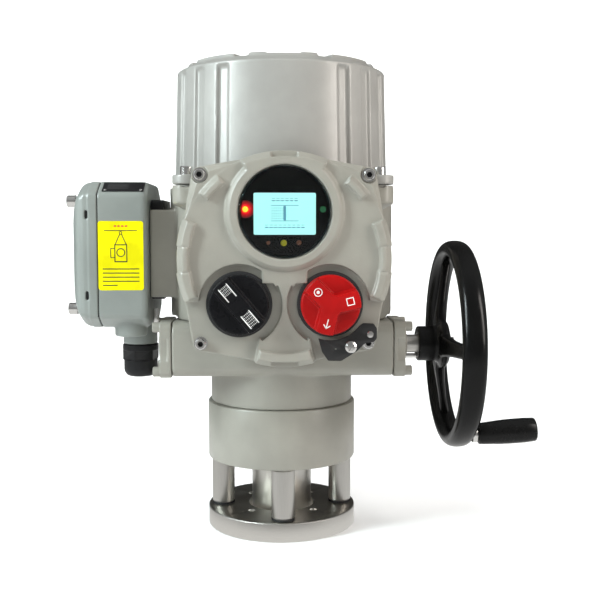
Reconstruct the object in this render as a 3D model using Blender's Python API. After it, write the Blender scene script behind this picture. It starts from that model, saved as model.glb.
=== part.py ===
"""Motorized multi-turn valve actuator, modelled in metres with +Z up.

The origin is the centre of the valve mounting face, on the output axis. The control panel
faces -Y, the terminal box points to -X and the handwheel to +X.
"""

import math

import bmesh
import bpy
from mathutils import Matrix, Vector

MM = 0.001
GAP = 0.3 * MM  # between pieces that touch

# Valve flange and the four pillars that carry the actuator above it
FLANGE_RADIUS = 87.5 * MM
FLANGE_THICKNESS = 22 * MM
FLANGE_BORE_RADIUS = 38.5 * MM
PILLAR_CIRCLE_RADIUS = 70 * MM
PILLAR_RADIUS = 13.3 * MM
SCREW_HOLE_CIRCLE_RADIUS = 51 * MM
SCREW_HOLE_RADIUS = 4.4 * MM

# Heights of the stack, from the flange face
THRUST_BOTTOM = 82 * MM
THRUST_TOP = 149 * MM
GEARBOX_TOP = 249 * MM
BELL_JOINT = 398 * MM
BELL_TOP = 534 * MM
THRUST_RADIUS = 87.2 * MM
NECK_RADIUS = 83.5 * MM
BODY_RADIUS = 124 * MM
TUB_RADIUS = 130 * MM  # of the control housing, a little wider than the bell above it
BASE_FLANGE_RADIUS = 99 * MM  # of the gear housing, under the control housing
WALL = 6 * MM

# Worm drive: a single-start worm on the handwheel shaft, in front of the output axis
WORM_MODULE = 1.8 * MM
WHEEL_TEETH = 40
WORM_PITCH_RADIUS = 14 * MM
WHEEL_PITCH_RADIUS = WORM_MODULE * WHEEL_TEETH / 2
WORM_Y = -(WHEEL_PITCH_RADIUS + WORM_PITCH_RADIUS)
WORM_Z = 220 * MM
WORM_LEAD = math.pi * WORM_MODULE
WORM_LENGTH = 40 * MM
WHEEL_WIDTH = 14 * MM

# Worm tunnel and its end covers
TUNNEL_HALF_LENGTH = 123 * MM
TUNNEL_HALF_WIDTH = 37 * MM
TUNNEL_HALF_HEIGHT = 31.5 * MM
END_COVER_THICKNESS = 13 * MM
SHAFT_RADIUS = 10.1 * MM

# Motor, upright above the worm shaft, with a pair of mitre gears
MOTOR_X = -62 * MM
MITRE_TEETH = 14
MITRE_PITCH_RADIUS = 20 * MM
MITRE_FACE = 6.5 * MM

# Control panel on the front of the control housing
PANEL_Z = 320 * MM
PANEL_RADIUS = 112 * MM
PANEL_LUG_THICKNESS = 10.5 * MM
PANEL_BACK = -132 * MM
PANEL_FACE = -160 * MM
DISPLAY_Z = 369 * MM
DISPLAY_RADIUS = 47 * MM
KNOB_X = 47 * MM
KNOB_Z = 274 * MM
KNOB_RADIUS = 31 * MM
POCKET_RADIUS = 42.5 * MM
POCKET_FLOOR = -143 * MM

# Terminal box, to the left
BOX_Z = 322 * MM
BOX_HALF_HEIGHT = 82 * MM
BOX_HALF_WIDTH = 77 * MM
BOX_FACET = 68 * MM
BOX_RIGHT = -149 * MM
BOX_LEFT = -202 * MM
BOX_CAP_LEFT = -229 * MM
NECK_Z = 323.5 * MM
NECK_HALF_HEIGHT = 49.5 * MM
CHEEK_Y = 42.6 * MM

# Handwheel
WHEEL_RADIUS = 118 * MM
RIM_X = 197 * MM
RIM_WIDTH = 27 * MM
RIM_DEPTH = 19 * MM
HUB_LEFT = 154 * MM
HUB_RADIUS = 20 * MM
SPOKES = 3
GRIP_ANGLE = math.radians(28)
GRIP_TILT = math.radians(4)

# Castings whose long chain of closed cuts needs Blender's Manifold solver
MANY_CUTS = ("front_cover", "control_housing")

TURN = 2 * math.pi
FACING_FRONT = (math.pi / 2, 0, 0)
FACING_LEFT = (0, -math.pi / 2, 0)
FACING_RIGHT = (0, math.pi / 2, 0)
UPRIGHT = (0, 0, 0)


# ---------------------------------------------------------------- materials


def make_material(name, colour, roughness, metallic=0.0):
    material = bpy.data.materials.new(name)
    material.use_nodes = True
    shader = material.node_tree.nodes["Principled BSDF"]
    shader.inputs["Base Color"].default_value = (*colour, 1)
    shader.inputs["Roughness"].default_value = roughness
    shader.inputs["Metallic"].default_value = metallic
    material.diffuse_color = (*colour, 1)
    return material


def make_materials():
    return {
        "housing_paint": make_material("housing_paint", (0.38, 0.37, 0.33), 0.45),
        "bell_paint": make_material("bell_paint", (0.45, 0.45, 0.42), 0.4),
        "stainless": make_material("stainless", (0.62, 0.61, 0.58), 0.25, 1.0),
        "steel": make_material("steel", (0.5, 0.5, 0.5), 0.35, 1.0),
        "bronze": make_material("bronze", (0.6, 0.4, 0.16), 0.35, 1.0),
        "copper": make_material("copper", (0.5, 0.22, 0.1), 0.4, 1.0),
        "black_gloss": make_material("black_gloss", (0.012, 0.012, 0.012), 0.2),
        "black_plastic": make_material("black_plastic", (0.02, 0.02, 0.02), 0.5),
        "red_plastic": make_material("red_plastic", (0.55, 0.01, 0.015), 0.35),
        "dark_plate": make_material("dark_plate", (0.03, 0.028, 0.027), 0.5),
        "rubber": make_material("rubber", (0.02, 0.02, 0.02), 0.8),
        "glass": make_material("glass", (0.02, 0.03, 0.03), 0.05),
        "lcd": make_material("lcd", (0.4, 0.85, 0.85), 0.3),
        "label_yellow": make_material("label_yellow", (1.0, 0.9, 0.0), 0.45),
        "circuit_board": make_material("circuit_board", (0.02, 0.2, 0.08), 0.5),
        "terminal_plastic": make_material("terminal_plastic", (0.1, 0.25, 0.12), 0.6),
    }


# ---------------------------------------------------------------- solid builders


def finish_mesh(bm, name):
    bmesh.ops.recalc_face_normals(bm, faces=bm.faces)
    mesh = bpy.data.meshes.new(name)
    bm.to_mesh(mesh)
    bm.free()
    mesh.shade_smooth()
    mesh.set_sharp_from_angle(angle=math.radians(35))
    return mesh


def ring(bm, radius, height, segments):
    if radius == 0:
        return [bm.verts.new((0, 0, height))]
    angles = (TURN * i / segments for i in range(segments))
    return [bm.verts.new((radius * math.cos(a), radius * math.sin(a), height)) for a in angles]


def skin(bm, first, second):
    """Faces between two rings, either of which may be a single point on the axis."""
    count = max(len(first), len(second))
    for i in range(count):
        j = (i + 1) % count
        corners = [
            first[i % len(first)],
            first[j % len(first)],
            second[j % len(second)],
            second[i % len(second)],
        ]
        corners = list(dict.fromkeys(corners))
        if len(corners) > 2:
            bm.faces.new(corners)


def turned(name, profile, segments=48):
    """A solid of revolution about Z, from a closed outline of (radius, height)."""
    bm = bmesh.new()
    rings = [ring(bm, radius, height, segments) for radius, height in profile]
    for first, second in zip(rings, rings[1:] + rings[:1]):
        skin(bm, first, second)
    return finish_mesh(bm, name)


def lofted(name, sections):
    """A solid through outlines of equal point count, capped flat at both ends."""
    bm = bmesh.new()
    rings = [[bm.verts.new(point) for point in section] for section in sections]
    for first, second in zip(rings, rings[1:]):
        skin(bm, first, second)
    bm.faces.new(rings[0])
    bm.faces.new(rings[-1])
    return finish_mesh(bm, name)


def prism(name, outline, low, high, top_scale=1.0):
    """An outline in XY, extruded along Z; top_scale tapers it."""
    top = [(x * top_scale, y * top_scale, high) for x, y in outline]
    return lofted(name, [[(x, y, low) for x, y in outline], top])


def disc(name, radius, low, high, segments=32, bore=0.0, edge=0.0):
    """A cylinder, with an optional bore and an optional chamfer on the top edge."""
    profile = [(radius, low), (radius, high - edge)]
    if edge:
        profile.append((radius - edge, high))
    profile += [(bore, high), (bore, low)]
    return turned(name, profile, segments)


def block(name, low, high):
    outline = [(low[0], low[1]), (high[0], low[1]), (high[0], high[1]), (low[0], high[1])]
    return prism(name, outline, low[2], high[2])


def arc(radius, start, end, count, centre=(0, 0)):
    """Points along an arc; the angles are in degrees."""
    angles = (math.radians(start + (end - start) * i / (count - 1)) for i in range(count))
    return [(centre[0] + radius * math.cos(a), centre[1] + radius * math.sin(a)) for a in angles]


def polar(radius, degrees):
    angle = math.radians(degrees)
    return (radius * math.cos(angle), radius * math.sin(angle))


def rounded_rectangle(half_x, half_y, radius, count=4):
    outline = []
    corners = ((1, 1, 0), (-1, 1, 90), (-1, -1, 180), (1, -1, 270))
    for sign_x, sign_y, start in corners:
        centre = (sign_x * (half_x - radius), sign_y * (half_y - radius))
        outline += arc(radius, start, start + 90, count, centre)
    return outline


def place(name, mesh, material, at=(0, 0, 0), turn=UPRIGHT, parent=None):
    obj = bpy.data.objects.new(name, mesh)
    bpy.context.scene.collection.objects.link(obj)
    obj.location = at
    obj.rotation_euler = turn
    if material:
        obj.data.materials.append(material)
    if parent:
        obj.parent = parent
        obj.matrix_parent_inverse = parent.matrix_basis.inverted()
    return obj


def tool(mesh, at=(0, 0, 0), turn=UPRIGHT):
    """A helper solid for a Boolean, which isn't a piece of the object."""
    obj = place("tool_" + mesh.name, mesh, None, at, turn)
    obj.hide_render = True
    obj.display_type = "WIRE"
    return obj


def combine(obj, operation, others):
    for other in others:
        modifier = obj.modifiers.new(f"{operation} {other.name}", "BOOLEAN")
        modifier.operation = operation
        modifier.solver = "MANIFOLD" if obj.name in MANY_CUTS else "EXACT"
        modifier.object = other
    return obj


def cut(obj, *others):
    return combine(obj, "DIFFERENCE", others)


def add(obj, *others):
    return combine(obj, "UNION", others)


def around(radius, degrees, count, z=0.0):
    """Places on a circle about Z, the first at this angle."""
    angles = (math.radians(degrees) + TURN * i / count for i in range(count))
    return [(radius * math.cos(a), radius * math.sin(a), z) for a in angles]


# ---------------------------------------------------------------- base and output


def make_base(paint):
    plate = place("base_plate", disc("plate", FLANGE_RADIUS, 0, FLANGE_THICKNESS, 48,
                                     FLANGE_BORE_RADIUS, 1 * MM), paint["stainless"])
    hole = disc("hole", SCREW_HOLE_RADIUS, -MM, FLANGE_THICKNESS + MM, 8)
    cut(plate, *(tool(hole, at) for at in around(SCREW_HOLE_CIRCLE_RADIUS, 45, 4)))
    names = ("pillar_right", "pillar_rear", "pillar_left", "pillar_front")
    shape = disc("pillar", PILLAR_RADIUS, FLANGE_THICKNESS + GAP, THRUST_BOTTOM - GAP, 16)
    for name, at in zip(names, around(PILLAR_CIRCLE_RADIUS, 0, 4)):
        place(name, shape, paint["stainless"], at)


def make_thrust_base(paint):
    edge = 3 * MM
    bore = 60 * MM
    sleeve = 36.5 * MM
    floor = THRUST_BOTTOM + 12 * MM
    profile = [
        (THRUST_RADIUS - edge, THRUST_TOP),
        (THRUST_RADIUS, THRUST_TOP - edge),
        (THRUST_RADIUS, THRUST_BOTTOM + edge),
        (THRUST_RADIUS - edge, THRUST_BOTTOM),
        (sleeve, THRUST_BOTTOM),
        (sleeve, floor),
        (bore, floor),
        (bore, THRUST_TOP),
    ]
    place("thrust_base", turned("thrust_base", profile, 40), paint["housing_paint"])


def make_drive_sleeve(paint, axis):
    """The hollow output shaft: wide below the thrust base, slim through the gearbox."""
    wide, collar, slim, bore, nut = 35.5 * MM, 40 * MM, 28 * MM, 20 * MM, 27 * MM
    profile = [
        (slim, 300 * MM),
        (slim, 150 * MM),
        (collar, 150 * MM),
        (collar, 122 * MM),
        (wide, 122 * MM),
        (wide, 3 * MM),
        (nut, 3 * MM),
        (nut, 62 * MM),
        (bore, 62 * MM),
        (bore, 300 * MM),
    ]
    place("drive_sleeve", turned("drive_sleeve", profile, 28), paint["stainless"], parent=axis)
    place("stem_nut", disc("stem_nut", nut - 2 * GAP, MM, 60 * MM, 28), paint["bronze"], parent=axis)
    bearing = disc("sleeve_bearing", 59.5 * MM, 0, 18 * MM, 28, wide + GAP)
    place("sleeve_bearing_lower", bearing, paint["steel"], (0, 0, 96 * MM))
    bearing = disc("sleeve_bearing", 45 * MM, 0, 12 * MM, 28, slim + GAP)
    place("sleeve_bearing_upper", bearing, paint["steel"], (0, 0, 236.3 * MM))


def make_worm_wheel(paint, axis):
    """Straight-sided teeth, slanted to the worm's lead angle, on a bored disc."""
    root = WHEEL_PITCH_RADIUS - 1.25 * WORM_MODULE
    tip = WHEEL_PITCH_RADIUS + WORM_MODULE
    pitch = TURN / WHEEL_TEETH
    shares = ((-0.3, root), (-0.11, tip), (0.11, tip), (0.3, root))
    slant = WORM_LEAD / (TURN * WORM_PITCH_RADIUS * WHEEL_PITCH_RADIUS)

    def section(height):
        turn = pitch / 2 - slant * height
        outline = []
        for tooth in range(WHEEL_TEETH):
            for share, radius in shares:
                angle = -TURN / 4 + turn + pitch * (tooth + share)
                outline.append((radius * math.cos(angle), radius * math.sin(angle), height))
        return outline

    half = WHEEL_WIDTH / 2
    mesh = lofted("worm_wheel", [section(-half), section(half)])
    wheel = place("worm_wheel", mesh, paint["bronze"], (0, 0, WORM_Z), parent=axis)
    bore = disc("wheel_bore", 28 * MM + GAP, -half - MM, half + MM, 28)
    cut(wheel, tool(bore, (0, 0, WORM_Z)))


# ---------------------------------------------------------------- worm shaft


def worm_thread():
    """A left-hand single-start thread: one cross-section, turned as it runs along Z."""
    root = WORM_PITCH_RADIUS - 1.25 * WORM_MODULE
    tip = WORM_PITCH_RADIUS + WORM_MODULE
    shares = ((-0.28, root), (-0.11, tip), (0.0, tip), (0.11, tip), (0.28, root), (0.39, root),
              (0.5, root), (0.61, root))
    steps_per_turn = 10
    rings = round(steps_per_turn * WORM_LENGTH / WORM_LEAD)
    sections = []
    for i in range(rings + 1):
        along = i * WORM_LENGTH / rings - WORM_LENGTH / 2
        turn = -TURN * along / WORM_LEAD
        section = []
        for share, radius in shares:
            angle = TURN / 4 + turn + TURN * share
            section.append((radius * math.cos(angle), radius * math.sin(angle), along))
        sections.append(section)
    return lofted("worm_thread", sections)


def mitre_gear(name, phase):
    """Teeth that shrink towards the cone's apex at the origin; the gear sits at +Z."""
    scale_in = 1 - MITRE_FACE * math.sqrt(2) / (MITRE_PITCH_RADIUS * math.sqrt(2))
    module = 2 * MITRE_PITCH_RADIUS / MITRE_TEETH
    pitch = TURN / MITRE_TEETH
    root = MITRE_PITCH_RADIUS - 0.85 * module
    tip = MITRE_PITCH_RADIUS + 0.45 * module
    shares = ((-0.3, root), (-0.1, tip), (0.1, tip), (0.3, root))

    def section(scale, height):
        outline = []
        for tooth in range(MITRE_TEETH):
            for share, radius in shares:
                angle = pitch * (tooth + share + phase)
                # A taller tooth stands nearer the apex, square to the cone.
                back = (MITRE_PITCH_RADIUS - radius) * scale
                outline.append((radius * scale * math.cos(angle), radius * scale * math.sin(angle),
                                height + back))
        return outline

    back = [(x * 0.8, y * 0.8, MITRE_PITCH_RADIUS + 4 * MM) for x, y, _ in section(1, 0)]
    front = section(scale_in, MITRE_PITCH_RADIUS * scale_in)
    return lofted(name, [front, section(1, MITRE_PITCH_RADIUS), back])


def make_worm_shaft(paint, axis):
    """Handwheel shaft, worm and mitre gear as one piece, from bearing to handwheel."""
    left, right = -TUNNEL_HALF_LENGTH + 3 * MM, 181 * MM
    slim, journal = 9 * MM, 12 * MM
    profile = [
        (0, left),
        (slim, left),
        (slim, 34 * MM),
        (journal, 34 * MM),
        (journal, 96 * MM),
        (SHAFT_RADIUS, 96 * MM),
        (SHAFT_RADIUS, right),
        (0, right),
    ]
    shaft = place("worm_shaft", turned("worm_shaft", profile, 16), paint["steel"],
                  (0, WORM_Y, WORM_Z), FACING_RIGHT, axis)
    thread = tool(worm_thread(), (0, WORM_Y, WORM_Z), FACING_RIGHT)
    gear = tool(mitre_gear("worm_mitre_gear", 0.0), (MOTOR_X, WORM_Y, WORM_Z), FACING_RIGHT)
    add(shaft, thread, gear)
    bearing = disc("worm_bearing", 26 * MM, 0, 12 * MM, 20, slim + GAP)
    place("worm_bearing_left", bearing, paint["steel"], (-119 * MM, WORM_Y, WORM_Z), FACING_RIGHT)
    bearing = disc("worm_bearing", 26 * MM, 0, 12 * MM, 20, SHAFT_RADIUS + GAP)
    place("worm_bearing_right", bearing, paint["steel"], (107 * MM, WORM_Y, WORM_Z), FACING_RIGHT)


# ---------------------------------------------------------------- gear housing


def tunnel_outline(half_width, half_height, corner):
    return rounded_rectangle(half_height, half_width, corner)


def make_gear_housing(paint):
    """A round body on its neck with the worm tunnel across its front, bored right through."""
    profile = [
        (BASE_FLANGE_RADIUS, GEARBOX_TOP - GAP),
        (BASE_FLANGE_RADIUS, GEARBOX_TOP - 12 * MM),
        (NECK_RADIUS, GEARBOX_TOP - 20 * MM),
        (NECK_RADIUS, THRUST_TOP + GAP),
        (60 * MM, THRUST_TOP + GAP),
        (60 * MM, GEARBOX_TOP - GAP),
    ]
    housing = place("gear_housing", turned("gear_housing", profile, 40), paint["housing_paint"])
    at = (0, WORM_Y, WORM_Z - 2 * MM)
    outside = tunnel_outline(TUNNEL_HALF_WIDTH, TUNNEL_HALF_HEIGHT - 1 * MM, 7 * MM)
    tunnel = prism("tunnel", outside, -TUNNEL_HALF_LENGTH, TUNNEL_HALF_LENGTH)
    bore = disc("tunnel_bore", 26 * MM + GAP, -TUNNEL_HALF_LENGTH - MM, TUNNEL_HALF_LENGTH + MM, 20)
    add(housing, tool(tunnel, at, FACING_RIGHT))
    cut(housing, tool(disc("gear_room", 58 * MM, THRUST_TOP - MM, GEARBOX_TOP + MM, 32)),
        tool(bore, (0, WORM_Y, WORM_Z), FACING_RIGHT),
        tool(disc("motor_room", 25 * MM, WORM_Z, GEARBOX_TOP + MM, 20), (MOTOR_X, WORM_Y, 0)))


def make_end_cover(name, paint, side):
    """A plate on the tunnel's end, scalloped between its four bolt bosses."""
    inner = TUNNEL_HALF_LENGTH + GAP
    outer = inner + END_COVER_THICKNESS
    outline = tunnel_outline(TUNNEL_HALF_WIDTH, TUNNEL_HALF_HEIGHT, 8 * MM)
    at = (0, WORM_Y, WORM_Z - 2 * MM)
    turn = FACING_RIGHT if side > 0 else FACING_LEFT
    cover = place(name, prism(name, outline, inner, outer), paint["housing_paint"], at, turn)
    scallop = 22 * MM
    for reach, degrees in ((TUNNEL_HALF_HEIGHT, 0), (TUNNEL_HALF_WIDTH, 90),
                           (TUNNEL_HALF_HEIGHT, 180), (TUNNEL_HALF_WIDTH, 270)):
        angle = math.radians(degrees)
        away = reach + scallop - 3.5 * MM
        offset = Vector((math.cos(angle) * away, math.sin(angle) * away, 0))
        shape = disc("scallop", scallop, inner + 4 * MM, outer + MM, 20)
        cutter = tool(shape, (at[0], at[1] + offset.y, at[2] + offset.x), turn)
        cut(cover, cutter)
    return cover


def make_end_covers(paint):
    at = (0, WORM_Y, WORM_Z)
    outer = TUNNEL_HALF_LENGTH + GAP + END_COVER_THICKNESS
    right = make_end_cover("right_end_cover", paint, 1)
    add(right, tool(disc("shaft_boss", 17 * MM, outer - 2 * MM, outer + 5 * MM, 24), at,
                    FACING_RIGHT))
    cut(right, tool(disc("shaft_hole", SHAFT_RADIUS + GAP, 0, outer + 9 * MM, 16), at, FACING_RIGHT))
    left = make_end_cover("left_end_cover", paint, -1)
    add(left, tool(disc("bearing_boss", 17 * MM, outer - 2 * MM, outer + 3 * MM, 24), at,
                   FACING_LEFT))
    pin = disc("stop_pin", 2.8 * MM, outer + 5 * MM + GAP, HUB_LEFT - GAP, 8)
    place("stop_pin", pin, paint["stainless"], (0, WORM_Y, WORM_Z - 14 * MM), FACING_RIGHT)


# ---------------------------------------------------------------- control housing and bell

EAR = 103 * MM  # the bell screws stand at (+-EAR, +-EAR)
EAR_RADIUS = 16 * MM
PANEL_EAR = 87 * MM


def lugs(name, reach, radius, root, low, high, foot=0.0):
    """Four round-ended lugs at the corners, about Z; a foot leads each one into the wall."""
    shapes = []
    for degrees in (45, 135, 225, 315):
        outline = arc(radius, -90, 90, 6, (reach, 0)) + [(root, radius), (root, -radius)]
        sections = [[(x, y, low) for x, y in outline], [(x, y, high) for x, y in outline]]
        if foot:
            sections.insert(0, [(root + (x - root) * 0.6, y * 0.8, low - foot) for x, y in outline])
        shape = lofted(name, sections)
        shape.transform(Matrix.Rotation(math.radians(degrees), 4, "Z"))
        shapes.append(shape)
    return shapes


def bell_ears(low, high, foot=0.0):
    return [tool(shape) for shape in lugs("bell_ear", EAR * math.sqrt(2), EAR_RADIUS, 105 * MM,
                                          low, high, foot)]


def panel_lugs(low, high):
    return [panel_tool(shape) for shape in lugs("panel_lug", PANEL_EAR * math.sqrt(2), 8.5 * MM,
                                                100 * MM, low, high)]


def make_control_housing(paint):
    """A round tub, open above and below, with a round drum facing the front for the panel."""
    seat = -PANEL_BACK - 1.6 * MM
    tub = place("control_housing", disc("tub", TUB_RADIUS, GEARBOX_TOP, BELL_JOINT, 48),
                paint["housing_paint"])
    add(tub, panel_tool(disc("drum", PANEL_RADIUS - 2 * MM, 10 * MM, seat, 48)),
        *bell_ears(378 * MM, BELL_JOINT - 0.2 * MM, 12 * MM), *panel_lugs(seat - 9 * MM, seat - GAP))
    neck = prism("box_neck", rounded_rectangle(NECK_HALF_HEIGHT, 46 * MM, 12 * MM, 3), 90 * MM,
                 134 * MM)
    add(tub, tool(neck, (0, 0, NECK_Z), FACING_LEFT))
    # A cheek on each side hides the plug flange from the front and the rear.
    for near, far in ((-52 * MM, -CHEEK_Y), (CHEEK_Y, 52 * MM)):
        cheek = block("cheek", (BOX_RIGHT + GAP, near, NECK_Z - NECK_HALF_HEIGHT),
                      (-105 * MM, far, NECK_Z + NECK_HALF_HEIGHT))
        add(tub, tool(cheek))
    over_gearbox = block("over_gearbox", (-200 * MM, -101 * MM, 150 * MM),
                         (200 * MM, 200 * MM, GEARBOX_TOP - 0.2 * MM))
    over_end_covers = [block("over_end_cover", (side * 130 * MM - 10 * MM, -90 * MM, 240 * MM),
                             (side * 130 * MM + 10 * MM, -10 * MM, GEARBOX_TOP + 3 * MM))
                       for side in (-1, 1)]
    wires = prism("wire_way", rounded_rectangle(40 * MM, 34 * MM, 8 * MM, 3), 90 * MM, 150 * MM)
    cut(tub, tool(disc("room", BODY_RADIUS - WALL, GEARBOX_TOP + WALL, BELL_JOINT + MM, 40)),
        tool(disc("floor_hole", 98 * MM, GEARBOX_TOP - 9 * MM, GEARBOX_TOP + 7 * MM, 40)),
        panel_tool(disc("drum_room", 84 * MM, 0, seat + MM, 40)),
        tool(wires, (0, 0, 319 * MM), FACING_LEFT),
        tool(disc("bell_clearance", BODY_RADIUS + 2.4 * MM, BELL_JOINT - 0.1 * MM, 460 * MM, 48)),
        tool(over_gearbox), *(tool(shape) for shape in over_end_covers))


def bell_outline(scale):
    """Smooth front and rear sectors, with cooling flutes down both sides."""
    ridge, groove, flutes, smooth = BODY_RADIUS, BODY_RADIUS - 5 * MM, 8, 24
    outline = []
    step = (180 - 2 * smooth) / flutes
    for middle in (0, 180):
        start = middle - 90 + smooth
        for flute in range(flutes):
            first = start + flute * step
            for share, radius in ((0.1, ridge), (0.58, ridge), (0.68, groove), (0.96, groove)):
                outline.append(polar(radius * scale, first + share * step))
        outline += arc(ridge * scale, start + flutes * step + 1, middle + 90 + smooth - 1, 8)
    return outline


def make_bell_cover(paint):
    """The motor and electronics cover: drafted, fluted, with raised pads round its top edge."""
    draft, shoulder = 0.972, 0.86
    heights = ((1.0, BELL_JOINT + GAP), (draft, BELL_TOP - 5 * MM), (shoulder, BELL_TOP + 1.5 * MM))
    sections = [[(x, y, z) for x, y in bell_outline(scale)] for scale, z in heights]
    bell = place("bell_cover", lofted("bell_cover", sections), paint["bell_paint"])
    add(bell, *bell_ears(BELL_JOINT + GAP + 0.2 * MM, BELL_JOINT + 11 * MM))
    pads = []
    for degrees in range(0, 360, 45):
        half = 16 if degrees % 90 == 45 else 20
        outline = arc(112 * MM, degrees - half, degrees + half, 4)
        outline += arc(84 * MM, degrees + half, degrees - half, 3)
        pads.append(tool(prism("pad", outline, BELL_TOP - 8 * MM, BELL_TOP + 4.5 * MM, 0.97)))
    add(bell, *pads)
    cut(bell, tool(disc("bell_room", 112 * MM, BELL_JOINT - MM, BELL_TOP - 12 * MM, 36)),
        *(tool(disc("bell_screw_hole", 4.6 * MM, BELL_JOINT - MM, BELL_JOINT + 12 * MM, 8), at)
          for at in around(EAR * math.sqrt(2), 45, 4)))


def socket_screw(name, head_radius, head, shank):
    """A cap screw whose head stands on Z = 0, with a hexagon socket."""
    profile = [
        (0, -shank),
        (head_radius * 0.5, -shank),
        (head_radius * 0.5, GAP),
        (head_radius, GAP),
        (head_radius, head),
        (head_radius * 0.5, head),
        (head_radius * 0.5, head * 0.45),
        (0, head * 0.45),
    ]
    return turned(name, profile, 12)


def make_bell_screws(paint):
    screw = socket_screw("bell_screw", 6.5 * MM, 9 * MM, 10 * MM)
    for i, at in enumerate(around(EAR * math.sqrt(2), 225, 4, BELL_JOINT + 11 * MM)):
        place(f"bell_screw_{i + 1}", screw, paint["stainless"], at)


def make_motor(paint, axis):
    at = (MOTOR_X, WORM_Y, 0)
    stator = disc("motor_stator", 33 * MM, 266 * MM, 346 * MM, 24, 20 * MM)
    place("motor_stator", stator, paint["copper"], at)
    profile = [(0, 358 * MM), (8 * MM, 358 * MM), (8 * MM, 340 * MM), (19 * MM, 340 * MM),
               (19 * MM, 272 * MM), (8 * MM, 272 * MM), (8 * MM, 238 * MM), (0, 238 * MM)]
    rotor = place("motor_rotor", turned("motor_rotor", profile, 16), paint["steel"], at,
                  parent=axis)
    add(rotor, tool(mitre_gear("motor_pinion", 0.5), (MOTOR_X, WORM_Y, WORM_Z)))


# ---------------------------------------------------------------- control panel


def panel_tool(mesh, x=0.0, z=0.0):
    return tool(mesh, (x, 0, PANEL_Z + z), FACING_FRONT)


def sector(name, inner, outer, start, end, low, high):
    outline = arc(outer, start, end, 4) + arc(inner, end, start, 4)
    return prism(name, outline, low, high)


def pocket_mouth(side):
    """The opening beside and below one knob, out to the rim; X is mirrored by the side."""
    outline = [(120 * MM, KNOB_Z - PANEL_Z + 3 * MM), (KNOB_X, KNOB_Z - PANEL_Z + 3 * MM),
               (31 * MM, -83 * MM), (28 * MM, -90 * MM), (26 * MM, -120 * MM),
               (120 * MM, -120 * MM)]
    return prism("pocket_mouth", [(side * x, z) for x, z in outline], -POCKET_FLOOR, 170 * MM)


def make_front_cover(paint):
    """A round cover with a raised display ring, rim blocks and two knob pockets."""
    back, face, raised = -PANEL_BACK, -PANEL_FACE - 5 * MM, -PANEL_FACE
    edge = 2 * MM
    profile = [(PANEL_RADIUS, face - edge), (PANEL_RADIUS, back), (0, back), (0, face),
               (PANEL_RADIUS - edge, face)]
    cover = place("front_cover", turned("front_cover", profile, 60), paint["housing_paint"],
                  (0, 0, PANEL_Z), FACING_FRONT)
    add(cover, *panel_lugs(back + GAP, back + PANEL_LUG_THICKNESS))
    blocks = [sector("top_block", 40 * MM, PANEL_RADIUS - 1 * MM, 67, 113, back + MM, raised),
              sector("foot_block", 92 * MM, PANEL_RADIUS - 1 * MM, 254, 286, back + MM, raised)]
    for side in (0, 1):
        for name, inner, start, end in (("small_block", 88, 132, 146), ("rim_block", 97, 151, 170),
                                        ("rim_block", 99, 172, 184), ("rim_block", 97, 186, 200)):
            low, high = (180 - end, 180 - start) if side else (start, end)
            outer = PANEL_RADIUS - (3 if name == "small_block" or start == 172 else 0.5) * MM
            blocks.append(sector(name, inner * MM, outer, low, high, back + MM, raised))
    add(cover, *(panel_tool(shape) for shape in blocks))
    ring_shape = disc("display_ring", 61 * MM, back + MM, raised, 40, 0, 2 * MM)
    add(cover, panel_tool(ring_shape, 0, DISPLAY_Z - PANEL_Z))
    pocket = disc("pocket", POCKET_RADIUS, -POCKET_FLOOR, 170 * MM, 32)
    cuts = [panel_tool(pocket, x, KNOB_Z - PANEL_Z) for x in (-KNOB_X, KNOB_X)]
    cuts += [panel_tool(pocket_mouth(side)) for side in (-1, 1)]
    recess = disc("display_recess", DISPLAY_RADIUS + 0.5 * MM, 149 * MM, 170 * MM, 32)
    cuts.append(panel_tool(recess, 0, DISPLAY_Z - PANEL_Z))
    cuts.append(panel_tool(disc("back_recess", 88 * MM, back - MM, back + 4 * MM, 32)))
    notch = block("notch", (-14 * MM, -6 * MM, 150 * MM), (14 * MM, 6 * MM, 170 * MM))
    cuts += [panel_tool(notch, 0, z) for z in (110 * MM, -110 * MM)]
    screw_hole = disc("screw_hole", 3.6 * MM, back - MM, 160 * MM, 8)
    cuts += [panel_tool(screw_hole, x, z)
             for x in (-PANEL_EAR, PANEL_EAR) for z in (-PANEL_EAR, PANEL_EAR)]
    cut(cover, *cuts)
    screw = socket_screw("front_screw", 5.6 * MM, 8 * MM, 12 * MM)
    corners = ((-1, 1), (1, 1), (-1, -1), (1, -1))
    for i, (x, z) in enumerate(corners):
        at = (x * PANEL_EAR, -(back + PANEL_LUG_THICKNESS), PANEL_Z + z * PANEL_EAR)
        place(f"front_screw_{i + 1}", screw, paint["stainless"], at, FACING_FRONT)


def make_display(paint):
    at = (0, 0, DISPLAY_Z)
    mask = disc("display_mask", DISPLAY_RADIUS, 149.3 * MM, 151 * MM, 32)
    place("display_mask", mask, paint["black_plastic"], at, FACING_FRONT)
    screen = prism("lcd_screen", rounded_rectangle(32 * MM, 21.5 * MM, 1.5 * MM), 151.3 * MM,
                   153 * MM)
    place("lcd_screen", screen, paint["lcd"], at, FACING_FRONT)
    window = disc("display_window", DISPLAY_RADIUS, 155.5 * MM, 158.5 * MM, 32)
    place("display_window", window, paint["glass"], at, FACING_FRONT)
    board = prism("control_board", rounded_rectangle(62 * MM, 50 * MM, 6 * MM), 118 * MM, 120 * MM)
    place("control_board", board, paint["circuit_board"], (0, 0, PANEL_Z), FACING_FRONT)


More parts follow.
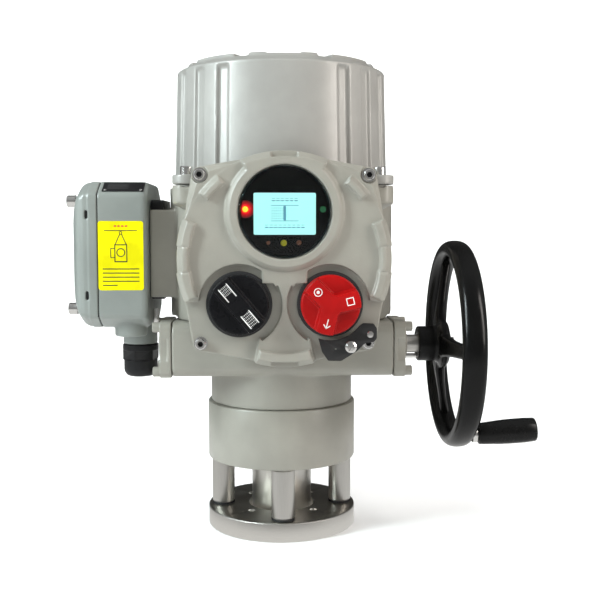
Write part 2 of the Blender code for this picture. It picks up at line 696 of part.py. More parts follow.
def make_knob(name, paint, arms, width, x, axis):
    """A round boss with a raised grip of one or more arms, on a short stub."""
    base, top, grip = 149.3 * MM, 159 * MM, 171 * MM
    profile = [(KNOB_RADIUS - MM, top), (KNOB_RADIUS, top - MM), (KNOB_RADIUS, base),
               (7 * MM, base), (7 * MM, 143.3 * MM), (0, 143.3 * MM), (0, top)]
    at = (x, 0, KNOB_Z)
    knob = place(name, turned(name, profile, 28), paint, at, FACING_FRONT, axis)
    half = math.degrees(math.asin(width / 2 / KNOB_RADIUS))
    grips = []
    for degrees in arms:
        outline = [(0, -width / 2)] + arc(KNOB_RADIUS, -half, half, 5) + [(0, width / 2)]
        shape = prism(name + "_arm", outline, top - 2 * MM, grip)
        shape.transform(Matrix.Rotation(math.radians(degrees), 4, "Z"))
        grips.append(tool(shape, at, FACING_FRONT))
    hub = disc(name + "_hub", width / 2 * 1.1, top - 2 * MM, grip, 12)
    add(knob, *grips, tool(hub, at, FACING_FRONT))
    return knob


def make_knobs(paint, axes):
    make_knob("open_close_knob", paint["black_gloss"], (132, 312), 22 * MM, -KNOB_X,
              axes["open_close_knob"])
    make_knob("mode_knob", paint["red_plastic"], (134, 14, 254), 19 * MM, KNOB_X,
              axes["mode_knob"])
    collar = disc("knob_collar", 34 * MM, 143.3 * MM, 149 * MM, 24, 7.5 * MM)
    for name, x in (("open_close_knob_collar", -KNOB_X), ("mode_knob_collar", KNOB_X)):
        place(name, collar, paint["rubber"], (x, 0, KNOB_Z), FACING_FRONT)


LEVER_X = KNOB_X + 20.8 * MM
LEVER_Z = KNOB_Z - 43.5 * MM


def make_lock_lever(paint, axis):
    """A flat plate curved round the red knob, turning on a screw in the pocket floor."""
    outline = [(-8.7, -49), (-2.5, -58), (11, -58.5), (26.7, -48.5), (35.5, -40), (45, -38.5),
               (48, -35), (48, -24.5), (44.5, -19.5), (33.5, -19)]
    outline = [(x * MM, z * MM) for x, z in outline]
    outline += arc(36.8 * MM, -37, -110, 10)
    outline = [(x - LEVER_X + KNOB_X, z - LEVER_Z + KNOB_Z) for x, z in outline]
    at = (LEVER_X, 0, LEVER_Z)
    lever = place("lock_lever", prism("lock_lever", outline, 153.5 * MM, 156.8 * MM),
                  paint["dark_plate"], at, FACING_FRONT, axis)
    hole = disc("lever_hole", 3.4 * MM, 145 * MM, 160 * MM, 12)
    eye = (KNOB_X + 40.9 * MM, 0, KNOB_Z - 31 * MM)
    cut(lever, tool(hole, at, FACING_FRONT), tool(hole, eye, FACING_FRONT))
    profile = [(0, 143.3 * MM), (5 * MM, 143.3 * MM), (5 * MM, 153.2 * MM), (3 * MM, 153.2 * MM),
               (3 * MM, 157.1 * MM), (5.6 * MM, 157.1 * MM), (4.6 * MM, 160.5 * MM), (0, 161 * MM)]
    place("lock_lever_screw", turned("lock_lever_screw", profile, 12), paint["stainless"], at,
          FACING_FRONT)


# ---------------------------------------------------------------- terminal box

GLAND = (-168 * MM, 5 * MM)
FRONT_ENTRY = (-172 * MM, -46 * MM)


def box_outline(scale=1.0):
    """The box's section: upright front and rear facets with a slanted one above and below."""
    corners = ((BOX_FACET, -BOX_HALF_WIDTH), (BOX_HALF_HEIGHT, -50 * MM),
               (BOX_HALF_HEIGHT, 50 * MM), (BOX_FACET, BOX_HALF_WIDTH),
               (-BOX_FACET, BOX_HALF_WIDTH), (-BOX_HALF_HEIGHT, 50 * MM),
               (-BOX_HALF_HEIGHT, -50 * MM), (-BOX_FACET, -BOX_HALF_WIDTH))
    return [(z * scale, y * scale) for z, y in corners]


def box_solid(name, scale, right, left):
    return prism(name, box_outline(scale), -right, -left)


def make_terminal_box(paint):
    at = (0, 0, BOX_Z)
    box = place("terminal_box", box_solid("terminal_box", 1, BOX_RIGHT, BOX_LEFT),
                paint["housing_paint"], at, FACING_LEFT)
    rear = disc("rear_entry", 20 * MM, 215 * MM, 262 * MM, 24)
    front = disc("front_entry", 18 * MM, 230 * MM, 262 * MM, 24)
    add(box, tool(rear, (*GLAND, 0)), tool(front, (*FRONT_ENTRY, 0)))
    cut(box, tool(box_solid("box_room", 0.91, BOX_RIGHT - 5 * MM, BOX_LEFT - MM), at, FACING_LEFT),
        tool(disc("rear_bore", 13 * MM, 200 * MM, 270 * MM, 16), (*GLAND, 0)),
        tool(disc("front_bore", 12 * MM, 200 * MM, 270 * MM, 16), (*FRONT_ENTRY, 0)),
        tool(prism("plug_way", rounded_rectangle(38 * MM, 34 * MM, 8 * MM), 140 * MM, 160 * MM),
             (0, 0, 319 * MM), FACING_LEFT))
    cap_right, bulge = BOX_LEFT - 2.6 * MM, BOX_CAP_LEFT - 4 * MM
    sections = []
    for scale, left in ((1, cap_right), (1, BOX_CAP_LEFT + 9 * MM), (0.96, BOX_CAP_LEFT),
                        (0.5, bulge)):
        sections.append([(z, y, -left) for z, y in box_outline(scale)])
    cap = place("terminal_cover", lofted("terminal_cover", sections), paint["housing_paint"], at,
                FACING_LEFT)
    cut(cap, tool(box_solid("cap_room", 0.91, cap_right + MM, BOX_CAP_LEFT + 8 * MM), at,
                  FACING_LEFT))
    gasket = place("terminal_gasket",
                   box_solid("terminal_gasket", 0.985, BOX_LEFT - GAP, BOX_LEFT - 2.3 * MM),
                   paint["rubber"], at, FACING_LEFT)
    cut(gasket, tool(box_solid("gasket_room", 0.93, BOX_LEFT + MM, BOX_LEFT - 4 * MM), at,
                     FACING_LEFT))
    screw = socket_screw("terminal_screw", 6 * MM, 10 * MM, 6 * MM)
    hole = disc("terminal_screw_hole", 3.6 * MM, 0, 20 * MM, 8)
    corners = ((60, -52), (-60, -52), (60, 52), (-60, 52))
    for i, (z, y) in enumerate(corners):
        head = (BOX_CAP_LEFT - 1.2 * MM, y * MM, BOX_Z + z * MM)
        cut(cap, tool(hole, (head[0] + 12 * MM, head[1], head[2]), FACING_LEFT),
            tool(disc("screw_seat", 7 * MM, 0, 9 * MM, 12), head, FACING_LEFT))
        place(f"terminal_screw_{i + 1}", screw, paint["stainless"], head, FACING_LEFT)


def make_terminal_fittings(paint):
    outline = rounded_rectangle(56.5 * MM, CHEEK_Y - GAP, 6 * MM)
    flange = prism("connector_flange", outline, 134.5 * MM, -BOX_RIGHT - GAP)
    flange = place("connector_flange", flange, paint["black_plastic"], (0, 0, 327.5 * MM),
                   FACING_LEFT)
    way = prism("flange_way", rounded_rectangle(37 * MM, 33 * MM, 8 * MM), 130 * MM, 160 * MM)
    cut(flange, tool(way, (0, 0, 319 * MM), FACING_LEFT))
    strip = block("terminal_block", (-176 * MM, -36 * MM, 282 * MM), (-158 * MM, 36 * MM, 362 * MM))
    place("terminal_block", strip, paint["terminal_plastic"])
    label = block("yellow_label", (-200 * MM, -78.1 * MM, 286 * MM),
                  (-153 * MM, -77.3 * MM, 358 * MM))
    place("yellow_label", label, paint["label_yellow"])
    # The nameplate lies on the slanted facet above the front one.
    upper, lower = Vector((0, -50 * MM, BOX_HALF_HEIGHT)), Vector((0, -BOX_HALF_WIDTH, BOX_FACET))
    slope = (upper - lower).normalized()
    middle = (upper + lower) / 2 + Vector((-175 * MM, 0, BOX_Z))
    plate = block("nameplate", (-23 * MM, -11 * MM, GAP), (23 * MM, 11 * MM, 1.1 * MM))
    place("nameplate", plate, paint["black_plastic"], middle,
          (math.atan2(slope.z, slope.y), 0, 0))
    body = disc("gland_body", 21 * MM, 207 * MM, 214.7 * MM, 20, 9 * MM)
    body = place("gland_body", body, paint["black_plastic"], (*GLAND, 0))
    hexagon = disc("gland_hexagon", 21.5 * MM, 196.3 * MM, 208 * MM, 6, 9 * MM)
    add(body, tool(hexagon, (*GLAND, 0)))
    profile = [(9 * MM, 196 * MM), (20 * MM, 196 * MM), (20 * MM, 187 * MM), (17 * MM, 179 * MM),
               (13 * MM, 176.5 * MM), (9 * MM, 176.5 * MM)]
    place("gland_nut", turned("gland_nut", profile, 20), paint["black_plastic"], (*GLAND, 0))
    plug = disc("blanking_plug", 11.6 * MM, 231 * MM, 250 * MM, 16)
    place("blanking_plug", plug, paint["steel"], (*FRONT_ENTRY, 0))


# ---------------------------------------------------------------- handwheel


def make_handwheel(paint, axis):
    middle = WHEEL_RADIUS - RIM_DEPTH / 2
    at = (0, WORM_Y, WORM_Z)
    section = []
    for i in range(8):
        angle = -TURN * (i + 0.5) / 8
        section.append((middle + RIM_DEPTH / 2 * 1.07 * math.cos(angle),
                        RIM_X + RIM_WIDTH / 2 * 1.07 * math.sin(angle)))
    wheel = place("handwheel", turned("handwheel", section, 40), paint["black_gloss"], at,
                  FACING_RIGHT, axis)
    hub = [(HUB_RADIUS - MM, HUB_LEFT), (HUB_RADIUS, HUB_LEFT + MM), (HUB_RADIUS, 176 * MM),
           (40 * MM, 180 * MM), (42 * MM, 184 * MM), (22 * MM, 190 * MM), (SHAFT_RADIUS + GAP, 190 * MM),
           (SHAFT_RADIUS + GAP, HUB_LEFT)]
    add(wheel, tool(turned("hub", hub, 20), at, FACING_RIGHT))
    for i in range(SPOKES):
        sections = []
        for reach, half_width, low, high in ((24 * MM, 13 * MM, 178 * MM, 188 * MM),
                                             (50 * MM, 8 * MM, 182 * MM, 191 * MM),
                                             (middle, 7 * MM, 193 * MM, 201 * MM)):
            sections.append([(reach, -half_width, low), (reach, half_width, low),
                             (reach, half_width * 0.6, high), (reach, -half_width * 0.6, high)])
        spoke = lofted("spoke", sections)
        spoke.transform(Matrix.Rotation(-TURN / 4 + TURN * i / SPOKES, 4, "Z"))
        add(wheel, tool(spoke, at, FACING_RIGHT))


def grip_place():
    reach = WHEEL_RADIUS - RIM_DEPTH / 2
    return (RIM_X, WORM_Y - reach * math.sin(GRIP_ANGLE), WORM_Z - reach * math.cos(GRIP_ANGLE))


def make_grip(paint, wheel_axis, grip_axis):
    """A tapered grip that revolves on a spindle standing out of the rim."""
    turn = (0, math.pi / 2 - GRIP_TILT, 0)
    spindle = [(0, 14.6 * MM), (9 * MM, 14.6 * MM), (9 * MM, 17.5 * MM), (5 * MM, 17.5 * MM),
               (5 * MM, 77 * MM), (0, 77 * MM)]
    place("grip_spindle", turned("grip_spindle", spindle, 12), paint["steel"], grip_place(), turn,
          wheel_axis)
    grip = [(5.3 * MM, 17.8 * MM), (5.3 * MM, 77.3 * MM), (0, 77.3 * MM), (0, 82 * MM),
            (11 * MM, 82 * MM), (13 * MM, 80 * MM), (13.6 * MM, 60 * MM), (13.2 * MM, 40 * MM),
            (11.6 * MM, 17.8 * MM)]
    place("handle_grip", turned("handle_grip", grip, 16), paint["black_plastic"], grip_place(),
          turn, grip_axis)


# ---------------------------------------------------------------- gaskets and assembly


def make_gaskets(paint):
    bell = disc("bell_gasket", 111.5 * MM, BELL_JOINT - 4 * MM, BELL_JOINT + 4 * MM, 32, 108 * MM)
    place("bell_gasket", bell, paint["rubber"])
    panel = disc("front_gasket", 104 * MM, 130.7 * MM, -PANEL_BACK - GAP, 32, 89 * MM)
    place("front_gasket", panel, paint["rubber"], (0, 0, PANEL_Z), FACING_FRONT)


def make_axis(name, at, parent=None):
    empty = bpy.data.objects.new(name, None)
    bpy.context.scene.collection.objects.link(empty)
    empty.location = at
    if parent:
        empty.parent = parent
        empty.matrix_parent_inverse = parent.matrix_basis.inverted()
    return empty


def make_axes():
    axes = {
        "output": make_axis("output_axis", (0, 0, 0)),
        "handwheel": make_axis("handwheel_axis", (0, WORM_Y, WORM_Z)),
        "motor": make_axis("motor_axis", (MOTOR_X, WORM_Y, 0)),
        "open_close_knob": make_axis("open_close_knob_axis", (-KNOB_X, 0, KNOB_Z)),
        "mode_knob": make_axis("mode_knob_axis", (KNOB_X, 0, KNOB_Z)),
        "lever": make_axis("lock_lever_axis", (LEVER_X, 0, LEVER_Z)),
    }
    axes["grip"] = make_axis("grip_axis", grip_place(), axes["handwheel"])
    return axes


def clear_scene():
    for obj in list(bpy.data.objects):
        bpy.data.objects.remove(obj, do_unlink=True)


def main():
    clear_scene()
    paint = make_materials()
    axes = make_axes()
    make_base(paint)
    make_thrust_base(paint)
    make_drive_sleeve(paint, axes["output"])
    make_worm_wheel(paint, axes["output"])
    make_worm_shaft(paint, axes["handwheel"])
    make_gear_housing(paint)
    make_end_covers(paint)
    make_control_housing(paint)
    make_bell_cover(paint)
    make_bell_screws(paint)
    make_motor(paint, axes["motor"])
    make_front_cover(paint)
    make_display(paint)
    make_knobs(paint, axes)
    make_lock_lever(paint, axes["lever"])
    make_terminal_box(paint)
    make_terminal_fittings(paint)
    make_handwheel(paint, axes["handwheel"])
    make_grip(paint, axes["handwheel"], axes["grip"])
    make_gaskets(paint)


main()
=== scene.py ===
from math import acos, atan2, copysign, cos, degrees, hypot, pi, radians, sin, sqrt

import bmesh
import bpy
from mathutils import Matrix, Vector


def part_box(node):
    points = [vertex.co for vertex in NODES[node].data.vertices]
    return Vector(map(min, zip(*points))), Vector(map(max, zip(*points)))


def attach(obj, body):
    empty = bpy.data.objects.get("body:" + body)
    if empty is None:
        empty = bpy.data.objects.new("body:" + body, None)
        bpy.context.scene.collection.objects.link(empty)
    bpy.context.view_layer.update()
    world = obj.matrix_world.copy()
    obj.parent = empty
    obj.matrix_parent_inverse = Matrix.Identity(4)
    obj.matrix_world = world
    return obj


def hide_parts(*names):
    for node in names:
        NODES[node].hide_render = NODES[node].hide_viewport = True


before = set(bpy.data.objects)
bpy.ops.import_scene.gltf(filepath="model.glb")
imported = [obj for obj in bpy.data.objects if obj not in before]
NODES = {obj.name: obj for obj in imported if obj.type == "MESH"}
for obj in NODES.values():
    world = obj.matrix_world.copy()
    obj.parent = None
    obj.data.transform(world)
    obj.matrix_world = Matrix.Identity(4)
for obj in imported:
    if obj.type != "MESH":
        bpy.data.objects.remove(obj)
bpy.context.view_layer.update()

TURN = 2 * pi
REPLACED = set()
MM = 0.001  # shapes are given in millimetres, and the frame is in metres

# The four ways a shape made along +Z can face.
UPRIGHT = Matrix.Identity(4)
TO_FRONT = Matrix.Rotation(pi / 2, 4, "X")
TO_LEFT = Matrix.Rotation(-pi / 2, 4, "Y")
TO_RIGHT = Matrix.Rotation(pi / 2, 4, "Y")

PANEL_Z = 320
DISPLAY_Z = 369
KNOB_X = 47
KNOB_Z = 274
WORM_Y = -50
WORM_Z = 220
BOX_Z = 322
EAR = 103
PANEL_EAR = 87
PANEL_REACH = PANEL_EAR * sqrt(2)
JOINT_Z = 398  # where the bell cover meets the control housing
GEARBOX_TOP = 249


# --- mesh helpers

def new_object(name, data):
    obj = bpy.data.objects.new(name, data)
    bpy.context.scene.collection.objects.link(obj)
    return obj


def object_from(name, bm, recalculate=True):
    if recalculate:
        bmesh.ops.recalc_face_normals(bm, faces=bm.faces)
    mesh = bpy.data.meshes.new(name)
    bm.to_mesh(mesh)
    bm.free()
    return new_object(name, mesh)


def mesh_from(name, points, faces):
    bm = bmesh.new()
    verts = [bm.verts.new([c * MM for c in point]) for point in points]
    for face in faces:
        bm.faces.new([verts[i] for i in face])
    bmesh.ops.remove_doubles(bm, verts=bm.verts, dist=1e-6)
    return object_from(name, bm)


def loft(name, rings):
    """A closed solid through rings of equal length, capped at both ends."""
    count = len(rings[0])
    points = [point for ring in rings for point in ring]
    faces = []
    for r in range(len(rings) - 1):
        for i in range(count):
            j = (i + 1) % count
            faces.append((r * count + i, r * count + j, (r + 1) * count + j, (r + 1) * count + i))
    faces.append(tuple(reversed(range(count))))
    faces.append(tuple((len(rings) - 1) * count + i for i in range(count)))
    return mesh_from(name, points, faces)


def lathe(name, profile, segments=128):
    """A solid of revolution about Z from a closed outline of (radius, height)."""
    bm = bmesh.new()
    rings = []
    for radius, height in profile:
        if radius < 1e-7:
            rings.append([bm.verts.new((0, 0, height * MM))])
            continue
        rings.append([bm.verts.new((radius * MM * cos(TURN * i / segments),
            radius * MM * sin(TURN * i / segments), height * MM)) for i in range(segments)])
    for first, second in zip(rings, rings[1:] + rings[:1]):
        if len(first) == 1 and len(second) == 1:
            continue
        for i in range(segments):
            j = (i + 1) % segments
            if len(first) == 1:
                bm.faces.new((first[0], second[j], second[i]))
            elif len(second) == 1:
                bm.faces.new((first[i], first[j], second[0]))
            else:
                bm.faces.new((first[i], first[j], second[j], second[i]))
    return object_from(name, bm)


def disc(name, radius, low, high, bore=0.0, segments=96):
    profile = [(radius, low), (radius, high), (bore, high), (bore, low)]
    return lathe(name, profile, segments)


def prism(name, outline, low, high, top_scale=1.0):
    rings = [[(x, y, low) for x, y in outline], [(x * top_scale, y * top_scale, high) for x,
        y in outline]]
    return loft(name, rings)


def block(name, low, high):
    outline = [(low[0], low[1]), (high[0], low[1]), (high[0], high[1]), (low[0], high[1])]
    return prism(name, outline, low[2], high[2])


def arc(radius, start, end, count, centre=(0.0, 0.0)):
    angles = [radians(start + (end - start) * i / count) for i in range(count + 1)]
    return [(centre[0] + radius * cos(a), centre[1] + radius * sin(a)) for a in angles]


def rounded_rectangle(half_x, half_y, radius, count=8):
    outline = []
    for sx, sy, start in ((1, 1, 0), (-1, 1, 90), (-1, -1, 180), (1, -1, 270)):
        outline += arc(radius, start, start + 90, count, (sx * (half_x - radius), sy * (half_y - radius)))
    return outline


def rounded_polygon(corners, radius, count=5):
    """The polygon with each corner turned into a small curve."""
    outline = []
    total = len(corners)
    for i, corner in enumerate(corners):
        here = Vector(corner)
        before = Vector(corners[i - 1]) - here
        after = Vector(corners[(i + 1) % total]) - here
        reach = min(radius, before.length * 0.45, after.length * 0.45)
        start = here + before.normalized() * reach
        end = here + after.normalized() * reach
        for k in range(count + 1):
            t = k / count
            point = start * (1 - t) ** 2 + here * 2 * t * (1 - t) + end * t ** 2
            outline.append((point.x, point.y))
    return outline


def moved(obj, at=(0, 0, 0), facing=UPRIGHT):
    obj.data.transform(Matrix.Translation([c * MM for c in at]) @ facing)
    return obj


def corners(reach):
    """The four corners of a square round the origin, anticlockwise."""
    return [(reach, reach), (-reach, reach), (-reach, -reach), (reach, -reach)]


def spun(obj, turn):
    """Turns the mesh about Z."""
    obj.data.transform(Matrix.Rotation(radians(turn), 4, "Z"))
    return obj


def applied(obj):
    """Bakes the object's modifiers into its mesh."""
    graph = bpy.context.evaluated_depsgraph_get()
    mesh = bpy.data.meshes.new_from_object(obj.evaluated_get(graph))
    obj.modifiers.clear()
    old = obj.data
    obj.data = mesh
    bpy.data.meshes.remove(old)
    return obj


def boolean(obj, tools, operation):
    for other in tools:
        change = obj.modifiers.new("boolean", "BOOLEAN")
        change.operation = operation
        change.solver = "MANIFOLD"
        change.object = other
    applied(obj)
    for other in tools:
        bpy.data.objects.remove(other)
    return obj


def middle_of(node):
    low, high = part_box(node)
    return (low + high) / (2 * MM)


def add(obj, *tools):
    return boolean(obj, tools, "UNION")


def cut(obj, *tools):
    return boolean(obj, tools, "DIFFERENCE")


def cast(obj, voxel, passes):
    """Turns a sharp solid into a casting with soft, filleted edges."""
    remesh = obj.modifiers.new("remesh", "REMESH")
    remesh.mode = "VOXEL"
    remesh.voxel_size = voxel * MM
    smooth = obj.modifiers.new("smooth", "SMOOTH")
    smooth.factor = 0.5
    smooth.iterations = passes
    return applied(obj)


def shade(obj, turn=40):
    obj.data.set_sharp_from_angle(angle=radians(turn))
    return obj


def bevel(obj, width, segments=3, turn=30):
    change = obj.modifiers.new("bevel", "BEVEL")
    change.width = width * MM
    change.segments = segments
    change.limit_method = "ANGLE"
    change.angle_limit = radians(turn)
    change.use_clamp_overlap = True
    return applied(obj)


def piece(obj, paint, body="housing", replaces=(), slot=None, smooth=40):
    """Gives the object its material and its body, and hides the solids it stands for."""
    # Faces with the second material, the insides of screw sockets, get black rubber as painted shade.
    inner = [face.index for face in obj.data.polygons if face.material_index]
    obj.data.materials.clear()
    obj.data.materials.append(PAINT[paint])
    if inner:
        obj.data.materials.append(PAINT["rubber"])
    for i in inner:
        obj.data.polygons[i].material_index = 1
    obj.data.shade_smooth()
    shade(obj, smooth)
    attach(obj, body)
    if replaces:
        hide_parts(*replaces)
        REPLACED.update(replaces)
    slot or SLOTS.get(paint, paint)


# --- materials

class Nodes:
    """A material's node tree, with the few nodes used here in short form."""

    def __init__(self, name, color, roughness, metallic=0.0, **inputs):
        self.material = bpy.data.materials.new(name)
        self.material.use_nodes = True
        self.tree = self.material.node_tree
        self.shader = self.tree.nodes["Principled BSDF"]
        self.shader.inputs["Base Color"].default_value = (*color, 1)
        self.shader.inputs["Roughness"].default_value = roughness
        self.shader.inputs["Metallic"].default_value = metallic
        for key, value in inputs.items():
            self.shader.inputs[key.replace("_", " ")].default_value = value
        self.point = self.node("ShaderNodeTexCoord").outputs["Object"]
        self.normal = None

    def node(self, kind, **settings):
        made = self.tree.nodes.new(kind)
        for key, value in settings.items():
            setattr(made, key, value)
        return made

    def link(self, output, target):
        self.tree.links.new(output, target)

    def scaled(self, scale):
        mapping = self.node("ShaderNodeMapping")
        mapping.inputs["Scale"].default_value = scale
        self.link(self.point, mapping.inputs["Vector"])
        return mapping.outputs["Vector"]

    def noise(self, scale, detail=2.0, stretch=(1, 1, 1), roughness=0.5):
        noise = self.node("ShaderNodeTexNoise")
        noise.inputs["Scale"].default_value = scale
        noise.inputs["Detail"].default_value = detail
        noise.inputs["Roughness"].default_value = roughness
        self.link(self.scaled(stretch), noise.inputs["Vector"])
        return noise.outputs["Fac"]

    def ranged(self, value, low, high, start=0.3, end=0.7):
        change = self.node("ShaderNodeMapRange")
        for key, number in (("From Min", start), ("From Max", end), ("To Min", low), ("To Max", high)):
            change.inputs[key].default_value = number
        self.link(value, change.inputs["Value"])
        return change.outputs["Result"]

    def ramp(self, value, stops):
        ramp = self.node("ShaderNodeValToRGB")
        elements = ramp.color_ramp.elements
        while len(elements) < len(stops):
            elements.new(0.5)
        for element, (position, color) in zip(elements, stops):
            element.position = position
            element.color = (*color, 1)
        self.link(value, ramp.inputs["Fac"])
        return ramp.outputs["Color"]

    def color(self, output):
        self.link(output, self.shader.inputs["Base Color"])

    def roughness(self, output):
        self.link(output, self.shader.inputs["Roughness"])

    def bump(self, value, strength, distance):
        bump = self.node("ShaderNodeBump")
        bump.inputs["Strength"].default_value = strength
        bump.inputs["Distance"].default_value = distance
        self.link(value, bump.inputs["Height"])
        if self.normal:
            self.link(self.normal, bump.inputs["Normal"])
        self.normal = bump.outputs["Normal"]
        self.link(self.normal, self.shader.inputs["Normal"])


def shades(color, spread):
    return [tuple(c * (1 - spread) for c in color), tuple(min(1, c * (1 + spread)) for c in color)]


def paint_material(name, color, roughness, coat, metallic=0.0, grain=0.5):
    """Sprayed paint on a casting: faint orange peel, fine texture and slight dust."""
    nodes = Nodes(name, color, roughness, metallic, Coat_Weight=coat, Coat_Roughness=0.22)
    dark, light = shades(color, 0.05)
    nodes.color(nodes.ramp(nodes.noise(26, 3), [(0.35, dark), (0.65, light)]))
    nodes.roughness(nodes.ranged(nodes.noise(60, 4), roughness - 0.05, roughness + 0.08))
    nodes.bump(nodes.noise(420, 3), grain * 0.5, 0.0004)
    nodes.bump(nodes.noise(1500, 2), grain * 0.35, 0.0002)
    return nodes.material


def turned_metal(name, color, roughness, stretch, scale=60, bump=0.12, top_shade=1.0):
    """Machined metal with fine lines from the tool. A top below 1 is painted shade that darkens the faces
    pointing up.
    """
    nodes = Nodes(name, color, roughness, 1.0, Anisotropic=0.45)
    lines = nodes.noise(scale, 6, stretch, 0.7)
    dark, light = shades(color, 0.06)
    tint = nodes.ramp(lines, [(0.3, dark), (0.7, light)])
    if top_shade < 1:
        # Painted shade: faces that point up get their colour multiplied by the top factor, a little
        # warmer.
        split = nodes.node("ShaderNodeSeparateXYZ")
        nodes.link(nodes.node("ShaderNodeNewGeometry").outputs["Normal"], split.inputs["Vector"])
        painted_top_shade = nodes.node("ShaderNodeMix", data_type="RGBA", blend_type="MULTIPLY")
        nodes.link(nodes.ranged(split.outputs["Z"], 0, 1, 0.5, 0.95), painted_top_shade.inputs[0])
        nodes.link(tint, painted_top_shade.inputs[6])
        painted_top_shade.inputs[7].default_value = (top_shade, top_shade * 0.97, top_shade * 0.92, 1)
        tint = painted_top_shade.outputs[2]
    nodes.color(tint)
    nodes.roughness(nodes.ranged(lines, roughness - 0.04, roughness + 0.07))
    nodes.bump(lines, bump, 0.0003)
    return nodes.material


def plastic_material(name, color, roughness, coat=0.0, grain=0.3, scale=900, specular=0.5):
    nodes = Nodes(name, color, roughness, 0.0, Coat_Weight=coat, Coat_Roughness=0.1,
        Specular_IOR_Level=specular)
    dark, light = shades(color, 0.12)
    nodes.color(nodes.ramp(nodes.noise(40, 3), [(0.35, dark), (0.65, light)]))
    nodes.roughness(nodes.ranged(nodes.noise(120, 4), roughness - 0.05, roughness + 0.07))
    nodes.bump(nodes.noise(scale, 3), grain, 0.0002)
    return nodes.material


def lamp_material(name, color, strength):
    nodes = Nodes(name, color, 0.15, 0.0, Coat_Weight=0.6)
    nodes.shader.inputs["Emission Color"].default_value = (*color, 1)
    nodes.shader.inputs["Emission Strength"].default_value = strength
    nodes.roughness(nodes.ranged(nodes.noise(300, 2), 0.1, 0.25))
    return nodes.material


def painted_lamp_light_material(centre, reach):
    """Black plastic with a painted pool of red lamp light round a lamp, fading outwards."""
    nodes = Nodes("painted_lamp_glow", (0.01, 0.004, 0.004), 0.3)
    away = nodes.node("ShaderNodeVectorMath", operation="DISTANCE")
    away.inputs[1].default_value = [c * MM for c in centre]
    nodes.link(nodes.point, away.inputs[0])
    near = nodes.ranged(away.outputs["Value"], 0, 1, 0, reach * MM)
    light = nodes.ramp(near, [(0.3, (1.0, 0.01, 0.01)), (0.65, (0.35, 0.0, 0.004)), (1.0, (0, 0, 0))])
    nodes.link(light, nodes.shader.inputs["Emission Color"])
    nodes.shader.inputs["Emission Strength"].default_value = 1.4
    return nodes.material


def glass_material():
    nodes = Nodes("display_glass", (0.9, 0.95, 0.95), 0.03, 0.0, IOR=1.22)
    nodes.shader.inputs["Transmission Weight"].default_value = 1.0
    nodes.roughness(nodes.ranged(nodes.noise(200, 3), 0.02, 0.06))
    return nodes.material


PAINT = {
    "housing": paint_material("housing_paint", (0.305, 0.292, 0.254), 0.34, 0.3),
    "bell": paint_material("bell_paint", (0.355, 0.346, 0.325), 0.38, 0.18, 0.12, 0.3),
    "box": paint_material("box_paint", (0.245, 0.262, 0.245), 0.34, 0.3),
    # The plate's last number, 0.36, is painted shade on its upward faces.
    "plate": turned_metal("plate_steel", (0.74, 0.72, 0.68), 0.32, (1, 1, 30), 90, 0.02, 0.36),
    "steel": turned_metal("bright_steel", (0.66, 0.645, 0.61), 0.34, (30, 30, 1), 60, 0.01),
    "bolt": turned_metal("screw_steel", (0.80, 0.79, 0.77), 0.2, (1, 1, 1), 120, 0.02),
    "inner": turned_metal("inner_steel", (0.45, 0.45, 0.45), 0.35, (1, 1, 20), 60),
    "bronze": turned_metal("bronze", (0.55, 0.33, 0.13), 0.35, (1, 1, 20), 60),
    "copper": turned_metal("copper", (0.6, 0.25, 0.12), 0.4, (1, 1, 60), 60),
    "rubber": plastic_material("rubber", (0.02, 0.02, 0.021), 0.6, 0, 0.5, 700),
    "black": plastic_material("black_plastic", (0.010, 0.010, 0.011), 0.34, 0, 0.15, 900, 0.35),
    "gloss": plastic_material("black_gloss", (0.004, 0.004, 0.004), 0.2, 0, 0.03, 300, 0.22),
    "mask": plastic_material("display_black", (0.002, 0.002, 0.002), 0.4, 0, 0.02, 900, 0.1),
    "satin": plastic_material("grip_plastic", (0.006, 0.006, 0.006), 0.28, 0, 0.03, 500, 0.22),
    "knob_black": plastic_material("knob_black", (0.007, 0.007, 0.008), 0.28, 0, 0.04, 900, 0.15),
    "knob_red": plastic_material("knob_red", (0.38, 0.004, 0.004), 0.35, 0, 0.05, 900, 0.2),
    "lever": paint_material("lever_grey", (0.016, 0.0155, 0.016), 0.4, 0.05),
    "white": plastic_material("white_ink", (0.8, 0.8, 0.78), 0.5),
    "yellow": plastic_material("label_yellow", (0.85, 0.76, 0.0), 0.5, 0, 0.03, 900, 0.15),
    "ink": plastic_material("black_ink", (0.02, 0.02, 0.02), 0.5, 0, 0.05),
    "red_ink": plastic_material("red_ink", (0.75, 0.06, 0.03), 0.5, 0, 0.05),
    "plate_ink": plastic_material("plate_grey_ink", (0.10, 0.10, 0.10), 0.4, 0, 0.05),
    "board": plastic_material("circuit_board", (0.02, 0.16, 0.07), 0.4, 0.3),
    "strip": plastic_material("terminal_plastic", (0.08, 0.22, 0.1), 0.5),
    "lcd": lamp_material("lcd", (0.40, 0.80, 0.78), 0.58),
    "lcd_ink": lamp_material("lcd_ink", (0.10, 0.30, 0.40), 0.45),
    "lamp_red": lamp_material("lamp_red", (1.0, 0.16, 0.01), 5.0),
    "painted_glow": painted_lamp_light_material((-39.5, -151.1, 371.6), 9.2),
    "lamp_green": lamp_material("lamp_green", (0.02, 0.13, 0.05), 0.15),
    "lamp_yellow": lamp_material("lamp_yellow", (0.25, 0.22, 0.01), 0.2),
    "lamp_dim": lamp_material("lamp_dim", (0.12, 0.05, 0.03), 0.05),
    "glass": glass_material(),
}

